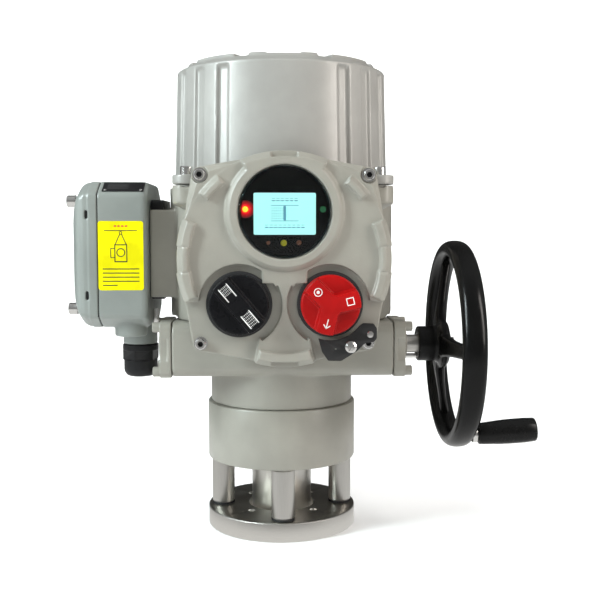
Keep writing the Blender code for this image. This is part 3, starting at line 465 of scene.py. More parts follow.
# The record's material slot of each paint, where the two have different names.
SLOTS = {
    "plate": "stainless", "steel": "stainless", "bolt": "stainless",
    "housing": "housing_paint", "box": "housing_paint", "bell": "bell_paint",
    "gloss": "black_gloss", "black": "black_plastic", "mask": "black_plastic",
    "satin": "black_plastic", "painted_glow": "black_plastic", "lamp_red": "black_plastic",
    "lamp_green": "black_plastic", "lamp_yellow": "black_plastic", "lamp_dim": "black_plastic",
    "yellow": "label_yellow", "ink": "label_yellow", "red_ink": "label_yellow",
    "plate_ink": "nameplate_black", "lcd_ink": "lcd", "lever": "lever_grey",
    "glass": "display_glass",
}


# --- base

def make_base():
    plate = lathe("base_plate_disc", [(38.5, 0), (86.5, 0), (87.5, 1), (87.5, 21), (86.5, 22), (39.5, 22),
        (38.5, 21)], 160)
    at = 51 / sqrt(2)
    cut(plate, *(moved(disc("hole", 4.4, -1, 23, segments=32), (x, y, 0))
        for x, y in ((at, at), (-at, at), (-at, -at), (at, -at))))
    piece(bevel(plate, 0.3, 2), "plate", replaces=["base_plate"])
    for name, x, y in (("right", 70, 0), ("rear", 0, 70), ("left", -70, 0), ("front", 0, -70)):
        pillar = lathe("pillar_" + name + "_round", [(0, 22.3), (12.3, 22.3), (12.3, 24.5), (13.3, 25.5),
            (13.3, 79.5), (12.3, 80.5), (12.3, 81.7), (0, 81.7)], 64)
        piece(moved(pillar, (x, y, 0)), "steel", replaces=["pillar_" + name])
        seat = disc("pillar_" + name + "_ring", 13.1, 22.05, 24.1, 12.5, 64)
        piece(moved(seat, (x, y, 0)), "rubber")


def make_thrust_base():
    edge = 1.8
    base = lathe("thrust_base_ring", [(50, 82), (87.2 - edge, 82), (87.2 - edge * 0.3, 82 + edge * 0.3),
        (87.2, 82 + edge), (87.2, 149 - edge), (87.2 - edge * 0.3, 149 - edge * 0.3), (87.2 - edge, 149),
        (50, 149)], 192)
    piece(base, "housing", replaces=["thrust_base"])


# --- gearbox

def make_gearbox():
    housing = lathe("gearbox_shell", [(60, 149.4), (83.5, 149.4), (83.5, 227), (90, 233.5), (99, 238),
        (99, 248.6), (60, 248.6)], 160)
    tunnel = prism("tunnel", rounded_rectangle(30.5, 37, 12), -122.8, 122.8)
    moved(tunnel, (0, WORM_Y, WORM_Z - 2), TO_RIGHT)
    rib = block("rib", (-119, -81.5, 228.5), (119, -79, 232.5))
    web_left = prism("web", rounded_rectangle(10, 21, 3), -122.7, -95)
    moved(web_left, (0, WORM_Y - 4, WORM_Z + 19), TO_RIGHT)
    add(housing, tunnel, rib, web_left)
    bore = moved(disc("bore", 26.3, -124, 124, segments=64), (0, WORM_Y, WORM_Z), TO_RIGHT)
    room = disc("room", 58, 148, 250, segments=96)
    well = moved(disc("well", 25, WORM_Z, 250, segments=48), (-62, WORM_Y, 0))
    cut(housing, bore, room, well)
    piece(cast(housing, 1.4, 5), "housing", replaces=["gear_housing"])
    make_end_cover(1, "right_end_cover", TO_RIGHT)
    make_end_cover(-1, "left_end_cover", TO_LEFT)


def make_end_cover(side, name, facing):
    centre = (0, WORM_Y, WORM_Z - 2)
    cover = prism(name + "_plate", rounded_rectangle(31.5, 37, 9), 123.3, 136.2)
    moved(cover, centre, facing)
    scallops = []
    for dy, dz, reach in ((1, 0, 37), (-1, 0, 37), (0, 1, 31.5), (0, -1, 31.5)):
        scallop = disc("scallop", 22, 127.3, 138, segments=48)
        away = reach + 22 - 4.5
        scallops.append(moved(scallop, (0, WORM_Y + dy * away, centre[2] + dz * away), facing))
    cut(cover, *scallops)
    boss_top = 141.1 if side > 0 else 139.1
    boss = lathe("boss", [(0, 134), (17, 134), (17, boss_top - 1.2), (15.8, boss_top), (0, boss_top)], 64)
    add(cover, moved(boss, (0, WORM_Y, WORM_Z), facing))
    radius, end = (10.4, 150) if side > 0 else (15, 128)
    cut(cover, moved(disc("bore", radius, 120, end, segments=64), (0, WORM_Y, WORM_Z), facing))
    piece(cast(cover, 0.8, 2), "housing", replaces=[name])
    for i, (dy, dz) in enumerate(((-1, 1), (1, 1), (-1, -1), (1, -1))):
        bolt = socket_screw(f"{name}_bolt_{i + 1}", 5.6, 8.2, 0.8)
        at = (side * 136.2, WORM_Y + dy * 26.5, centre[2] + dz * 24.8)
        piece(moved(bolt, at, facing), "housing")


def socket_screw(name, radius, head, shank):
    """A cap screw whose head stands on Z = 0, with a hexagon socket painted black inside as shade."""
    edge = radius * 0.14
    profile = [(0, -shank), (radius * 0.55, -shank), (radius * 0.55, 0.2), (radius, 0.2),
        (radius, head - edge), (radius - edge, head), (0, head)]
    screw = lathe(name, profile, 48)
    socket = disc("socket", radius * 0.56, head * 0.45, head * 1.2, segments=6)
    cut(screw, socket)
    # Painted shade: the faces inside the socket get the second material, which piece paints black rubber.
    for face in screw.data.polygons:
        centre = face.center / MM
        inside = hypot(centre.x, centre.y) < radius * 0.53
        face.material_index = int(inside and 0 < centre.z < head - 0.1)
    return screw


# --- housing and bell

def lug(reach, turn, radius, root, low, high, foot=0):
    """An ear round a screw, reaching out from the body, drafted down to its foot."""
    outline = arc(radius, -90, 90, 20, (reach, 0)) + [(root, radius), (root, -radius)]
    rings = [[(x, y, low) for x, y in outline], [(x, y, high) for x, y in outline]]
    if foot:
        small = arc(radius * 0.35, -90, 90, 20, (reach - radius * 0.9, 0))
        small += [(root, radius * 0.35), (root, -radius * 0.35)]
        rings.insert(0, [(x, y, low - foot) for x, y in small])
    return spun(loft("ear", rings), turn)


def corner_ears(low, high, foot=0):
    return [lug(EAR * sqrt(2), 45 + 90 * i, 15.5, 105, low, high, foot) for i in range(4)]


def corner_web(core, reach, radius, level):
    """A section whose sides run straight from a disc round Z out to the boss of a screw."""
    lean = degrees(acos((core - radius) / reach))
    outline = arc(radius, -lean, lean, 12, (reach, 0)) + arc(core, lean, -lean, 1)
    return [(x, y, level) for x, y in outline]


def panel_webs(*levels):
    """The webs out to the panel's corner screws, through pairs of level and reach."""
    webs = []
    for i in range(4):
        web = loft("web", [corner_web(109, reach, 8.2, level) for level, reach in levels])
        webs.append(moved(spun(web, 45 + 90 * i), (0, 0, PANEL_Z), TO_FRONT))
    return webs


def make_control_housing():
    tub = disc("control_shell", 129.8, GEARBOX_TOP + 0.2, JOINT_Z - 0.3, segments=192)
    drum = moved(disc("drum", 109.8, 10, 130, segments=160), (0, 0, PANEL_Z), TO_FRONT)
    neck = prism("neck", rounded_rectangle(49.5, 46, 12), 90, 133.8)
    cheeks = [block("cheek", (-148.6, side * 47.3 - 4.6, 274.2), (-105, side * 47.3 + 4.6, 372.8))
        for side in (-1, 1)]
    rim = disc("rim", 130, JOINT_Z - 9, JOINT_Z - 0.4, segments=192)
    add(tub, drum, moved(neck, (0, 0, 323.5), TO_LEFT), *cheeks, rim, *corner_ears(378.5, 397.6, 11),
        *panel_webs((118, PANEL_REACH), (129.8, PANEL_REACH)))
    under = block("under", (-200, -101, 150), (200, 200, GEARBOX_TOP + 0.1))
    cuts = [under]
    for side in (-1, 1):
        low, high = (side * 130 - 12, -91, 240), (side * 130 + 12, -9, GEARBOX_TOP + 3.2)
        cuts.append(block("cover_gap", low, high))
    cuts.append(disc("clearance", 126.6, JOINT_Z - 0.1, 460, segments=160))
    cuts.append(disc("inside", 115, GEARBOX_TOP + 9, 402, segments=96))
    cuts.append(disc("floor_hole", 98, 240, 262, segments=96))
    cuts.append(moved(disc("drum_room", 84, 0, 132, segments=96), (0, 0, PANEL_Z), TO_FRONT))
    wires = prism("wires", rounded_rectangle(40, 34, 8), 90, 150)
    cuts.append(moved(wires, (0, 0, 319), TO_LEFT))
    for x, y in corners(EAR):
        cuts.append(block("pry_slot", (x - 5.5, y - 20, 395.5), (x + 5.5, y + 20, 399)))
    cut(tub, *cuts)
    piece(cast(tub, 1.5, 3), "housing", replaces=["control_housing"])


def make_bell():
    ridge, groove, flutes, smooth = 123.8, 120, 8, 24
    step = (180 - 2 * smooth) / flutes
    heights = [(1, 398.6, 1), (0.9995, 402, 1)]
    heights += [(1 - 0.027 * t / 10, 402 + 119.5 * t / 10, 1) for t in range(1, 11)]
    heights += [(0.9728, 523, 0.9), (0.9725, 524.5, 0.6), (0.9722, 525.8, 0.2), (0.972, 526.8, 0),
        (0.971, 528, 0), (0.966, 528.9, 0), (0.862, 535.2, 0)]
    rings = []
    for scale, z, depth in heights:
        ring = []
        for middle in (0, 180):
            start = middle - 90 + smooth
            for i in range(flutes * 24):
                share = (i % 24) / 24
                lean = min(1, max(0, (0.23 - abs(share - 0.5)) / 0.08))
                radius = ridge - (ridge - groove) * depth * lean * lean * (3 - 2 * lean)
                angle = radians(start + step * i / 24)
                ring.append((radius * scale * cos(angle), radius * scale * sin(angle), z))
            for x, y in arc(ridge * scale, start + flutes * step, middle + 90 + smooth - 0.6, 60):
                ring.append((x, y, z))
        rings.append(ring)
    bell = loft("bell_shell", rings)
    pads = []
    for turn in range(0, 360, 45):
        half = 16 if turn % 90 == 45 else 20
        outline = arc(111.5, turn - half, turn + half, 14)
        outline += arc(84, turn + half, turn - half, 14)
        pads.append(prism("pad", outline, 527, 538.4, 0.965))
    add(bell, *pads, *corner_ears(398.6, 408.8))
    hollow = disc("hollow", 112, 397, 522, segments=96)
    holes = [moved(disc("hole", 4.6, 396, 412, segments=24), (x, y, 0)) for x, y in corners(EAR)]
    dips = [block("dip", (-19, y, 537.2), (19, y + 25, 540)) for y in (-115, 90)]
    cut(bell, hollow, *holes, *dips)
    piece(cast(bell, 1.2, 2), "bell", replaces=["bell_cover"])
    for i in range(4):
        middle = middle_of(f"bell_screw_{i + 1}")
        screw = socket_screw(f"bell_bolt_{i + 1}", 7, 8.8, 9.8)
        piece(moved(screw, (middle.x, middle.y, 409.2)), "bolt", replaces=[f"bell_screw_{i + 1}"])


# --- front cover

RIM = 156.2  # how far the raised ring and blocks stand out


def on_panel(obj, x=0, z=0):
    return moved(obj, (x, 0, PANEL_Z + z), TO_FRONT)


def on_display(obj, x=0, z=0):
    return moved(obj, (x, 0, DISPLAY_Z + z), TO_FRONT)


def mirrored(outline, side):
    points = [(side * x, z) for x, z in outline]
    return points if side > 0 else points[::-1]


def rim_blocks(side):
    """The raised blocks round one side of the cover's rim."""
    blocks = []
    for inner, outer, start, end in ((99.5, 111.4, 128.5, 142), (97.2, 111.9, 158, 172.6),
                                     (98.5, 110.2, 172.2, 187.3), (97.2, 111.9, 187, 203)):
        low, high = (180 - end, 180 - start) if side > 0 else (start, end)
        blocks.append(raised_block(inner, outer, low, high))
    return blocks


def raised_block(inner, outer, start, end):
    """A raised block with a wide slope on its outer side and small bevels on the others."""
    rings = []
    for level, out, small in ((134, 0, 0), (RIM - 7.2, 0, 0), (RIM - 1.8, 4.4, 0),
                              (RIM, 6.2, 2)):
        turn = degrees(small / outer)
        ring = arc(outer - out, start + turn, end - turn, 20)
        ring += arc(inner + small, end - turn, start + turn, 20)
        rings.append([(x, y, level) for x, y in ring])
    return on_panel(loft("raised_block", rings))


def make_front_cover():
    cover = lathe("front_cover_shell", [(0, 132.5), (110.8, 132.5), (110.8, 149), (109.8, 150), (0, 150)],
        192)
    on_panel(cover)
    display = lathe("display_ring", [(0, 134), (61.6, 134), (61.6, 150), (60, 153), (56.2, RIM),
        (0, RIM)], 160)
    add(cover, on_display(display), raised_block(40, 111.6, 66.5, 113.5),
        raised_block(96.5, 111.6, 254.5, 285.5), *rim_blocks(1), *rim_blocks(-1),
        *panel_webs((132.5, PANEL_REACH), (142.5, PANEL_REACH), (149.6, PANEL_REACH - 9.5)))
    cuts = []
    drop = KNOB_Z - PANEL_Z
    for side in (-1, 1):
        pocket = disc("pocket", 41.5, 143, 170, segments=128)
        cuts.append(on_panel(pocket, side * KNOB_X, drop))
        wedge = [(KNOB_X + 10, drop)]
        wedge += [(KNOB_X - 44.5 * cos(radians(a)), drop + 44.5 * sin(radians(a)))
            for a in range(26, -59, -4)]
        cuts.append(on_panel(prism("inner_pocket", mirrored(wedge, side), 143, 170)))
        mouth = [(120, -43.5), (87, -42.5), (70, -44), (KNOB_X, -44), (26, -80), (28, -89), (31, -104),
            (31.5, -120), (120, -120)]
        cuts.append(on_panel(prism("mouth", mirrored(mouth, side), 143, 170)))
    cuts.append(on_display(disc("recess", 47.7, 149, 170, segments=128)))
    slope = lathe("slope", [(0, 154.5), (47.6, 154.5), (51.2, 158.1), (0, 158.1)], 128)
    cuts.append(on_display(slope))
    for z in (110.5, -111.2):
        cuts.append(on_panel(block("notch", (-14.2, -6.2, 149), (14.2, 6.2, 170)), 0, z))
    cuts.append(on_panel(disc("back_recess", 88, 130, 136, segments=96)))
    for x, z in corners(PANEL_EAR):
        cuts.append(on_panel(disc("scallop", 9, 142.6, 170, segments=64), x, z))
    cut(cover, *cuts)
    for side in (-1, 1):
        tab = prism("tab", [(side * x, z) for x, z in ((23.2, -24.6), (23.2, -11), (5, -11), (5, -24.6))],
            142.5, 150.2)
        under = on_panel(disc("under", 35.2, 142, 149.1, segments=96), side * KNOB_X, drop)
        add(cover, cut(on_panel(tab), under))
    piece(cast(cover, 0.8, 2), "housing", replaces=["front_cover"])
    for i in range(4):
        middle = middle_of(f"front_screw_{i + 1}")
        screw = socket_screw(f"panel_screw_{i + 1}", 5.5, 7.8, 2)
        piece(moved(screw, (middle.x, -142.7, middle.z), TO_FRONT), "bolt",
            replaces=[f"front_screw_{i + 1}"])
        washer = disc(f"panel_washer_{i + 1}", 7.2, 142.52, 142.75, 3, 48)
        piece(moved(washer, (middle.x, 0, middle.z), TO_FRONT), "bolt")


# --- display

def bar(x, z, length, width, level, turn=0, thickness=0.1):
    """A thin printed stroke, turned about its own middle."""
    outline = rounded_rectangle(length / 2, width / 2, width * 0.3, 2)
    stroke = prism("stroke", outline, level, level + thickness)
    return moved(spun(stroke, turn), (x, z, 0))


def joined(name, parts):
    """One object from several that don't touch."""
    bm = bmesh.new()
    for part in parts:
        bm.from_mesh(part.data)
        bpy.data.objects.remove(part)
    return object_from(name, bm, recalculate=False)


LCD_DROP = -2


def make_display():
    """Mask, LCD and lamps behind the round window."""
    mask = lathe("display_mask_disc", [(0, 149.3), (46.9, 149.3), (46.9, 150.6), (46.5, 151), (0, 151)],
        128)
    piece(on_display(mask), "mask", replaces=["display_mask"])
    bezel = lathe("display_bezel", [(44, 151.1), (46.9, 151.1), (46.9, 154.3), (46.3, 154.6),
        (45.2, 153.6)], 128)
    piece(on_display(bezel), "gloss", slot="black_plastic")
    screen = prism("lcd_panel", rounded_rectangle(31.6, 21.2, 1.6), 151.3, 153)
    moved(screen, (0, LCD_DROP, 0))
    piece(bevel(on_display(screen), 0.3, 2), "lcd", replaces=["lcd_screen"])
    level = 153.02
    strokes = [bar(0, 8.5, 28, 0.6, level), bar(0, -7.2, 28, 0.6, level),
        bar(0, 0.6, 14.8, 2.6, level, 90)]
    for row in range(5):
        for column in range(6):
            strokes.append(bar(-12.8 + column * 2.2, 5.8 - row * 2.7, 1.4, 0.7, level))
    for z, widths in ((13.2, 6), (-13.8, 9)):
        for i in range(widths):
            x = (i - (widths - 1) / 2) * 4.6
            strokes.append(bar(x, z, 3.4, 1.1, level))
            strokes.append(bar(x, z + 2.4, 3.4, 0.5, level))
    piece(on_display(joined("lcd_marks", strokes), 0, LCD_DROP), "lcd_ink")
    lamps = (("lamp_left", -39.8, 2.6, 3, "lamp_red"), ("lamp_right", 38.8, 2.6, 3.3, "lamp_green"),
        ("lamp_middle", -1, -31.5, 3.2, "lamp_yellow"), ("lamp_low_left", -16.5, -31.2, 2.2, "lamp_dim"),
        ("lamp_low_right", 14.5, -31.2, 2.6, "lamp_dim"))
    for name, x, z, radius, paint in lamps:
        lamp = lathe(name, [(0, 151.1), (radius, 151.1), (radius * 0.8, 152), (0, 152.3)], 48)
        piece(on_display(lamp, x, z), paint)
    # Painted lamp light: a thin emitting disc on the mask round the red lamp, though the mask is no lamp.
    painted_glow = lathe("painted_lamp_glow", [(0, 151.05), (9.2, 151.05), (9.2, 151.08), (0, 151.08)], 64)
    edge = disc("edge", 80, 150, 153, 43.8, 128)
    moved(edge, (39.5, -2.6, 0))
    cut(painted_glow, edge)
    piece(on_display(painted_glow, -39.5, 2.6), "painted_glow")
    window = lathe("display_pane", [(0, 154.8), (46.6, 154.8), (46.8, 155.1), (46.8, 156.6), (46.3, 157),
        (0, 157)], 128)
    piece(on_display(window), "glass", replaces=["display_window"])


# --- knobs and lever

def on_knob(obj, x):
    return moved(obj, (x, 0, KNOB_Z), TO_FRONT)


def knob_shell(name, arms, width):
    """A round knob with a raised grip of one or more arms, its flanks sloping and filleted."""
    shell = lathe(name, [(0, 149.4), (30.8, 149.4), (30.8, 158), (29.5, 159.2), (0, 159.2)], 128)
    grips = []
    for turn in arms:
        half = width / 2
        low = [(-2, -half - 1.6), (40, -half - 1.6), (40, half + 1.6), (-2, half + 1.6)]
        high = [(-2, -half), (40, -half), (40, half), (-2, half)]
        arm = loft("arm", [[(x, y, 157) for x, y in low], [(x, y, 170.8) for x, y in high]])
        grips.append(spun(arm, turn))
    hub = disc("hub", width * (0.5 if len(arms) == 2 else 0.66), 157, 170.8, segments=64)
    add(shell, *grips, hub)
    limit = lathe("limit", [(30.8, 140), (60, 140), (60, 180), (29.6, 180), (30.8, 160)], 128)
    cut(shell, limit)
    return cast(shell, 0.6, 7)


def make_knobs():
    black = knob_shell("valve_knob", (130, 310), 19)
    piece(on_knob(black, -KNOB_X), "knob_black", "open_close_knob", ["open_close_knob"])
    red = knob_shell("selector_knob", (135, 13, 256), 17.8)
    piece(on_knob(red, KNOB_X), "knob_red", "mode_knob", ["mode_knob"])
    for name, x, node in (("left_collar", -KNOB_X, "open_close_knob_collar"),
                          ("right_collar", KNOB_X, "mode_knob_collar")):
        collar = lathe(name, [(8, 143.4), (34.2, 143.4), (34.2, 147.8), (33.5, 148.9), (8, 148.9)], 128)
        piece(on_knob(collar, x), "rubber", replaces=[node])
    level = 170.72
    marks = []
    for end, closed in ((17.5, False), (-17.5, True)):
        for side in (-1, 1):
            marks.append(bar(end, side * 5, 16.5, 1.1, level))
        for row in range(5):
            for i in range(6 if closed else 4):
                marks.append(bar(end + 6.5 - i * 2.6, -3.4 + row * 1.7, 1.6, 0.5, level))
    symbols = spun(joined("valve_knob_marks", marks), 130)
    piece(on_knob(symbols, -KNOB_X), "white", "open_close_knob", slot="knob_black")
    marks = []
    for turn, kind in ((135, "ring"), (13, "square"), (256, "arrow")):
        shapes = []
        if kind == "ring":
            shapes.append(disc("ring", 4.4, level, level + 0.1, 3.5, 32))
            shapes.append(disc("dot", 1.7, level, level + 0.1, segments=24))
        elif kind == "square":
            for side in (-1, 1):
                shapes.append(bar(0, side * 3.5, 7.8, 0.9, level))
                shapes.append(bar(side * 3.5, 0, 6.2, 0.9, level, 90))
        else:
            shapes.append(bar(-1, 0, 9, 1, level))
            for side in (-1, 1):
                shapes.append(bar(2.4, side * 1.7, 5.2, 1, level, -45 * side))
        marks.append(spun(moved(joined("mark", shapes), (19.5, 0, 0)), turn))
    piece(on_knob(joined("selector_knob_marks", marks), KNOB_X), "white", "mode_knob", slot="knob_red")


LEVER = (67.8, 230.5)


def make_lever():
    outline = [(-8.7, -49), (-2.5, -58), (11, -58.3), (26.7, -48.5), (35.5, -40), (45, -38.5),
        (47.8, -35), (47.8, -24.5), (44.5, -19.7), (33.5, -19.2)]
    outline += arc(37, -37, -110, 24)
    lever = prism("lock_lever_plate", rounded_polygon(outline, 1.2, 3), 153.6, 156.7)
    cut(lever, *(moved(disc("hole", radius, 150, 160, segments=sides), (x, z, 0))
        for radius, sides, x, z in ((3.1, 32, LEVER[0] - KNOB_X, LEVER[1] - KNOB_Z),
                                    (3.4, 32, 40.9, -31), (1, 16, 5.2, -46))))
    piece(bevel(on_knob(lever, KNOB_X), 0.4, 2), "lever", "lock_lever", ["lock_lever"], smooth=30)
    screw = lathe("lever_pan_screw", [(0, 143.4), (4.8, 143.4), (4.8, 153.1), (2.9, 153.1), (2.9, 157.1),
        (6.6, 157.1), (6.7, 157.8), (6, 159.6), (4, 160.8), (0, 161)], 64)
    cut(screw, spun(block("slot", (-4.5, -0.6, 160), (4.5, 0.6, 163)), 60))
    stud = lathe("lever_stud", [(0, 154), (3.2, 154), (3.2, 156.9), (3.6, 157.2), (3, 158), (0, 158.3)],
        48)
    moved(stud, (40.9, -31, 0))
    piece(on_knob(stud, KNOB_X), "bolt", "lock_lever")
    piece(moved(screw, (LEVER[0], 0, LEVER[1]), TO_FRONT), "bolt", replaces=["lock_lever_screw"],
        smooth=25)


# --- terminal box

GLAND = (-168, 5)
FRONT_ENTRY = (-172, -46)
BOX_CORNERS = ((68, -77), (82, -50), (82, 50), (68, 77), (-68, 77), (-82, 50), (-82, -50), (-68, -77))


def box_rings(levels, radius=5):
    """Sections of the eight-sided box, each a (scale, distance from the middle plane)."""
    return [[(x, y, level) for x, y in rounded_polygon([(z * scale, y * scale) for z, y in BOX_CORNERS],
        radius, 6)] for scale, level in levels]


def on_box(obj):
    return moved(obj, (0, 0, BOX_Z), TO_LEFT)


def make_terminal_box():
    body = on_box(loft("terminal_shell", box_rings([(0.950, 149.4), (0.975, 150.3), (0.992, 152.2),
        (1, 155.5), (1, 202.7)])))
    rear = lathe("rear_boss", [(0, 215.2), (19, 215.2), (20, 216.2), (20, 255), (16, 262), (0, 262)], 96)
    front = lathe("front_boss", [(0, 230.2), (16.8, 230.2), (18, 231.4), (18, 250), (17, 258),
        (13.5, 264), (7, 267.5), (0, 268.5)], 96)
    add(body, moved(rear, (*GLAND, 0)), moved(front, (*FRONT_ENTRY, 0)))
    room = on_box(loft("room", box_rings([(0.91, 154), (0.91, 210)], 4)))
    cut(body, room, moved(disc("bore", 13, 200, 270, segments=48), (*GLAND, 0)),
        moved(disc("bore", 12, 200, 270, segments=48), (*FRONT_ENTRY, 0)),
        on_box(prism("way", rounded_rectangle(38, 34, 8), 140, 160)))
    piece(cast(body, 1.1, 3), "box", replaces=["terminal_box"])
    cover = on_box(loft("terminal_lid", box_rings([(1, 203.6), (1, 213.2), (0.992, 213.6), (0.985, 219),
        (0.962, 223.5), (0.920, 227), (0.780, 230.3), (0.600, 232.4), (0.400, 233.5), (0.100, 234)])))
    for vertex in cover.data.vertices:
        depth = max(0, -vertex.co.x / MM - 213.6) / 20.4
        vertex.co.x -= depth * 4.5 * MM * (1 - ((vertex.co.z / MM - BOX_Z) / 60) ** 2)
    cuts = [on_box(loft("room", box_rings([(0.91, 203), (0.91, 220)], 4)))]
    for side in (-1, 1):
        for z in (45, -44):
            low = (-217.1, side * 78.5 - 6, BOX_Z + z - 4.8)
            cuts.append(block("slot", low, (low[0] + 3.4, low[1] + 12, low[2] + 9.6)))
    for z in (60, -60):
        for y in (-52, 52):
            at = (-230.2, y, BOX_Z + z)
            cuts += [moved(disc("seat", 7.2, 0, 9, segments=48), at, TO_LEFT),
                moved(disc("hole", 3.6, -12, 4, segments=24), at, TO_LEFT)]
    cut(cover, *cuts)
    piece(cast(cover, 0.9, 3), "box", replaces=["terminal_cover"])
    for i, (z, y) in enumerate(((60, -52), (-60, -52), (60, 52), (-60, 52))):
        at = (-230.2, y, BOX_Z + z)
        screw = socket_screw(f"terminal_bolt_{i + 1}", 6.6, 9.9, 5.8)
        piece(moved(screw, at, TO_LEFT), "bolt", replaces=[f"terminal_screw_{i + 1}"])
        ring = disc(f"terminal_washer_{i + 1}", 6.9, 0.05, 1.2, 3.6, 48)
        piece(moved(ring, at, TO_LEFT), "bolt")
    # Black blocks at the bottom of the lid's slots are painted shade in the recesses.
    for side in (-1, 1):
        for i, z in enumerate((45, -44)):
            low = Vector((-217, side * 73 - 0.8, BOX_Z + z - 4.7))
            name = f"slot_shade_{'rear' if side > 0 else 'front'}_{i + 1}"
            piece(block(name, low, low + Vector((3.2, 1.6, 9.4))), "rubber")


def make_terminal_fittings():
    flange = prism("connector_plate", rounded_rectangle(56.5, 42.2, 6), 134.6, 148.6)
    way = moved(prism("way", rounded_rectangle(37, 33, 8), 130, 160), (-8.5, 0, 0))
    cut(flange, way)
    moved(flange, (0, 0, 327.5), TO_LEFT)
    piece(bevel(flange, 0.6, 2), "black", replaces=["connector_flange"])
    tab = prism("earth_tab", rounded_polygon([(-148.9, 260), (-148.9, 242.5), (-145, 241.5),
        (-141.2, 245), (-141.8, 260)], 1.5, 4), 30, 31.8)
    piece(bevel(moved(tab, (0, 0, 0), TO_FRONT), 0.3, 2), "bolt")
    collar = lathe("gland_collar", [(9.5, 207.5), (20.5, 207.5), (21, 208), (21, 214.1), (20.5, 214.7),
        (9.5, 214.7)], 96)
    hexagon = disc("hexagon", 21.4, 196.4, 207.8, 9.5, 6)
    spun(hexagon, 17)
    limit = lathe("limit", [(20.4, 190), (30, 190), (30, 207.7), (21.2, 207.7), (21.2, 198)], 96)
    cut(hexagon, limit)
    add(collar, hexagon)
    piece(bevel(moved(collar, (*GLAND, 0)), 0.3, 2), "black", replaces=["gland_body"])
    arc = [(12.8 + 7 * cos(radians(a)), 185.8 - 9.2 * sin(radians(a))) for a in range(0, 91, 10)]
    nut = lathe("gland_dome_nut", [(9.5, 196.1), (19.8, 196.1), *arc, (9.5, 176.6)], 96)
    piece(moved(nut, (*GLAND, 0)), "black", replaces=["gland_nut"])
    plug = disc("entry_plug", 11.6, 231.1, 250, segments=64)
    cut(plug, disc("socket", 5.5, 230, 237, segments=6))
    piece(bevel(moved(plug, (*FRONT_ENTRY, 0)), 0.4, 2), "bolt", replaces=["blanking_plug"], slot="steel")


def make_label():
    centre = (-177.8, 0, BOX_Z)
    sheet = prism("yellow_sheet", rounded_rectangle(24.7, 38, 3), 77.05, 77.35)
    piece(moved(sheet, centre, TO_FRONT), "yellow", replaces=["yellow_label"])
    level = 77.4
    title = [bar(-6 + 4 * i, 32.5, 2.6, 1.6, level) for i in range(4)]
    piece(moved(joined("label_title", title), centre, TO_FRONT), "red_ink")
    strokes = [bar(x, z, length, width, level, turn) for x, z, length, width, turn in (
        (0, 27.5, 36, 0.8, 0), (0, -14.5, 40, 1, 0), (0, -19, 40, 1, 0), (0, -23.5, 40, 1, 0),
        (0, -28, 40, 1, 0), (-12, -32.5, 16, 1, 0), (0, 12, 12, 1, 0), (0, -6.5, 14, 1.2, 0),
        (-6.5, 3, 19, 1, 90), (6.5, 3, 19, 1, 90), (-3.5, 18, 13.5, 0.8, 66), (3.5, 18, 13.5, 0.8, -66),
        (-11, 3, 10, 0.8, 90), (-9, 8, 4.4, 0.8, 0), (-9, -2, 4.4, 0.8, 0))]
    ring = disc("ring", 4.8, level, level + 0.1, 3.8, 48)
    moved(ring, (0, 3.5, 0))
    hook = disc("hook", 1.8, level, level + 0.1, 1.1, 32)
    moved(hook, (0, 25, 0))
    piece(moved(joined("label_strokes", strokes + [ring, hook]), centre, TO_FRONT), "ink")


def make_nameplate():
    lower, upper = Vector((0, -77, 68)), Vector((0, -50, 82))
    slope = upper - lower
    tilt = atan2(slope.z, slope.y)
    middle = (lower + upper) / 2 + Vector((-175.5, 0, BOX_Z))
    place = Matrix.Translation(middle * MM) @ Matrix.Rotation(tilt, 4, "X")
    plate = prism("rating_plate", rounded_rectangle(22.8, 11, 1), 0.2, 1)
    plate.data.transform(place)
    piece(bevel(plate, 0.2, 2), "black", replaces=["nameplate"], slot="nameplate_black")
    text = joined("rating_lines", [bar(-6, 6 - 3.4 * i, 23, 0.6, 1.02) for i in range(4)])
    text.data.transform(place)
    piece(text, "plate_ink")
    for i, x in enumerate((-19.5, 19.5)):
        rivet = lathe(f"plate_rivet_{i + 1}", [(0, 0.8), (1.7, 0.8), (1.6, 1.4), (0.9, 1.9), (0, 2)], 32)
        moved(rivet, (x, -8.4, 0)).data.transform(place)
        piece(rivet, "bolt")


# --- handwheel

FULLNESS = 0.86  # under 1, the rim's oval section is fuller than an ellipse


def on_worm(obj):
    return moved(obj, (0, WORM_Y, WORM_Z), TO_RIGHT)


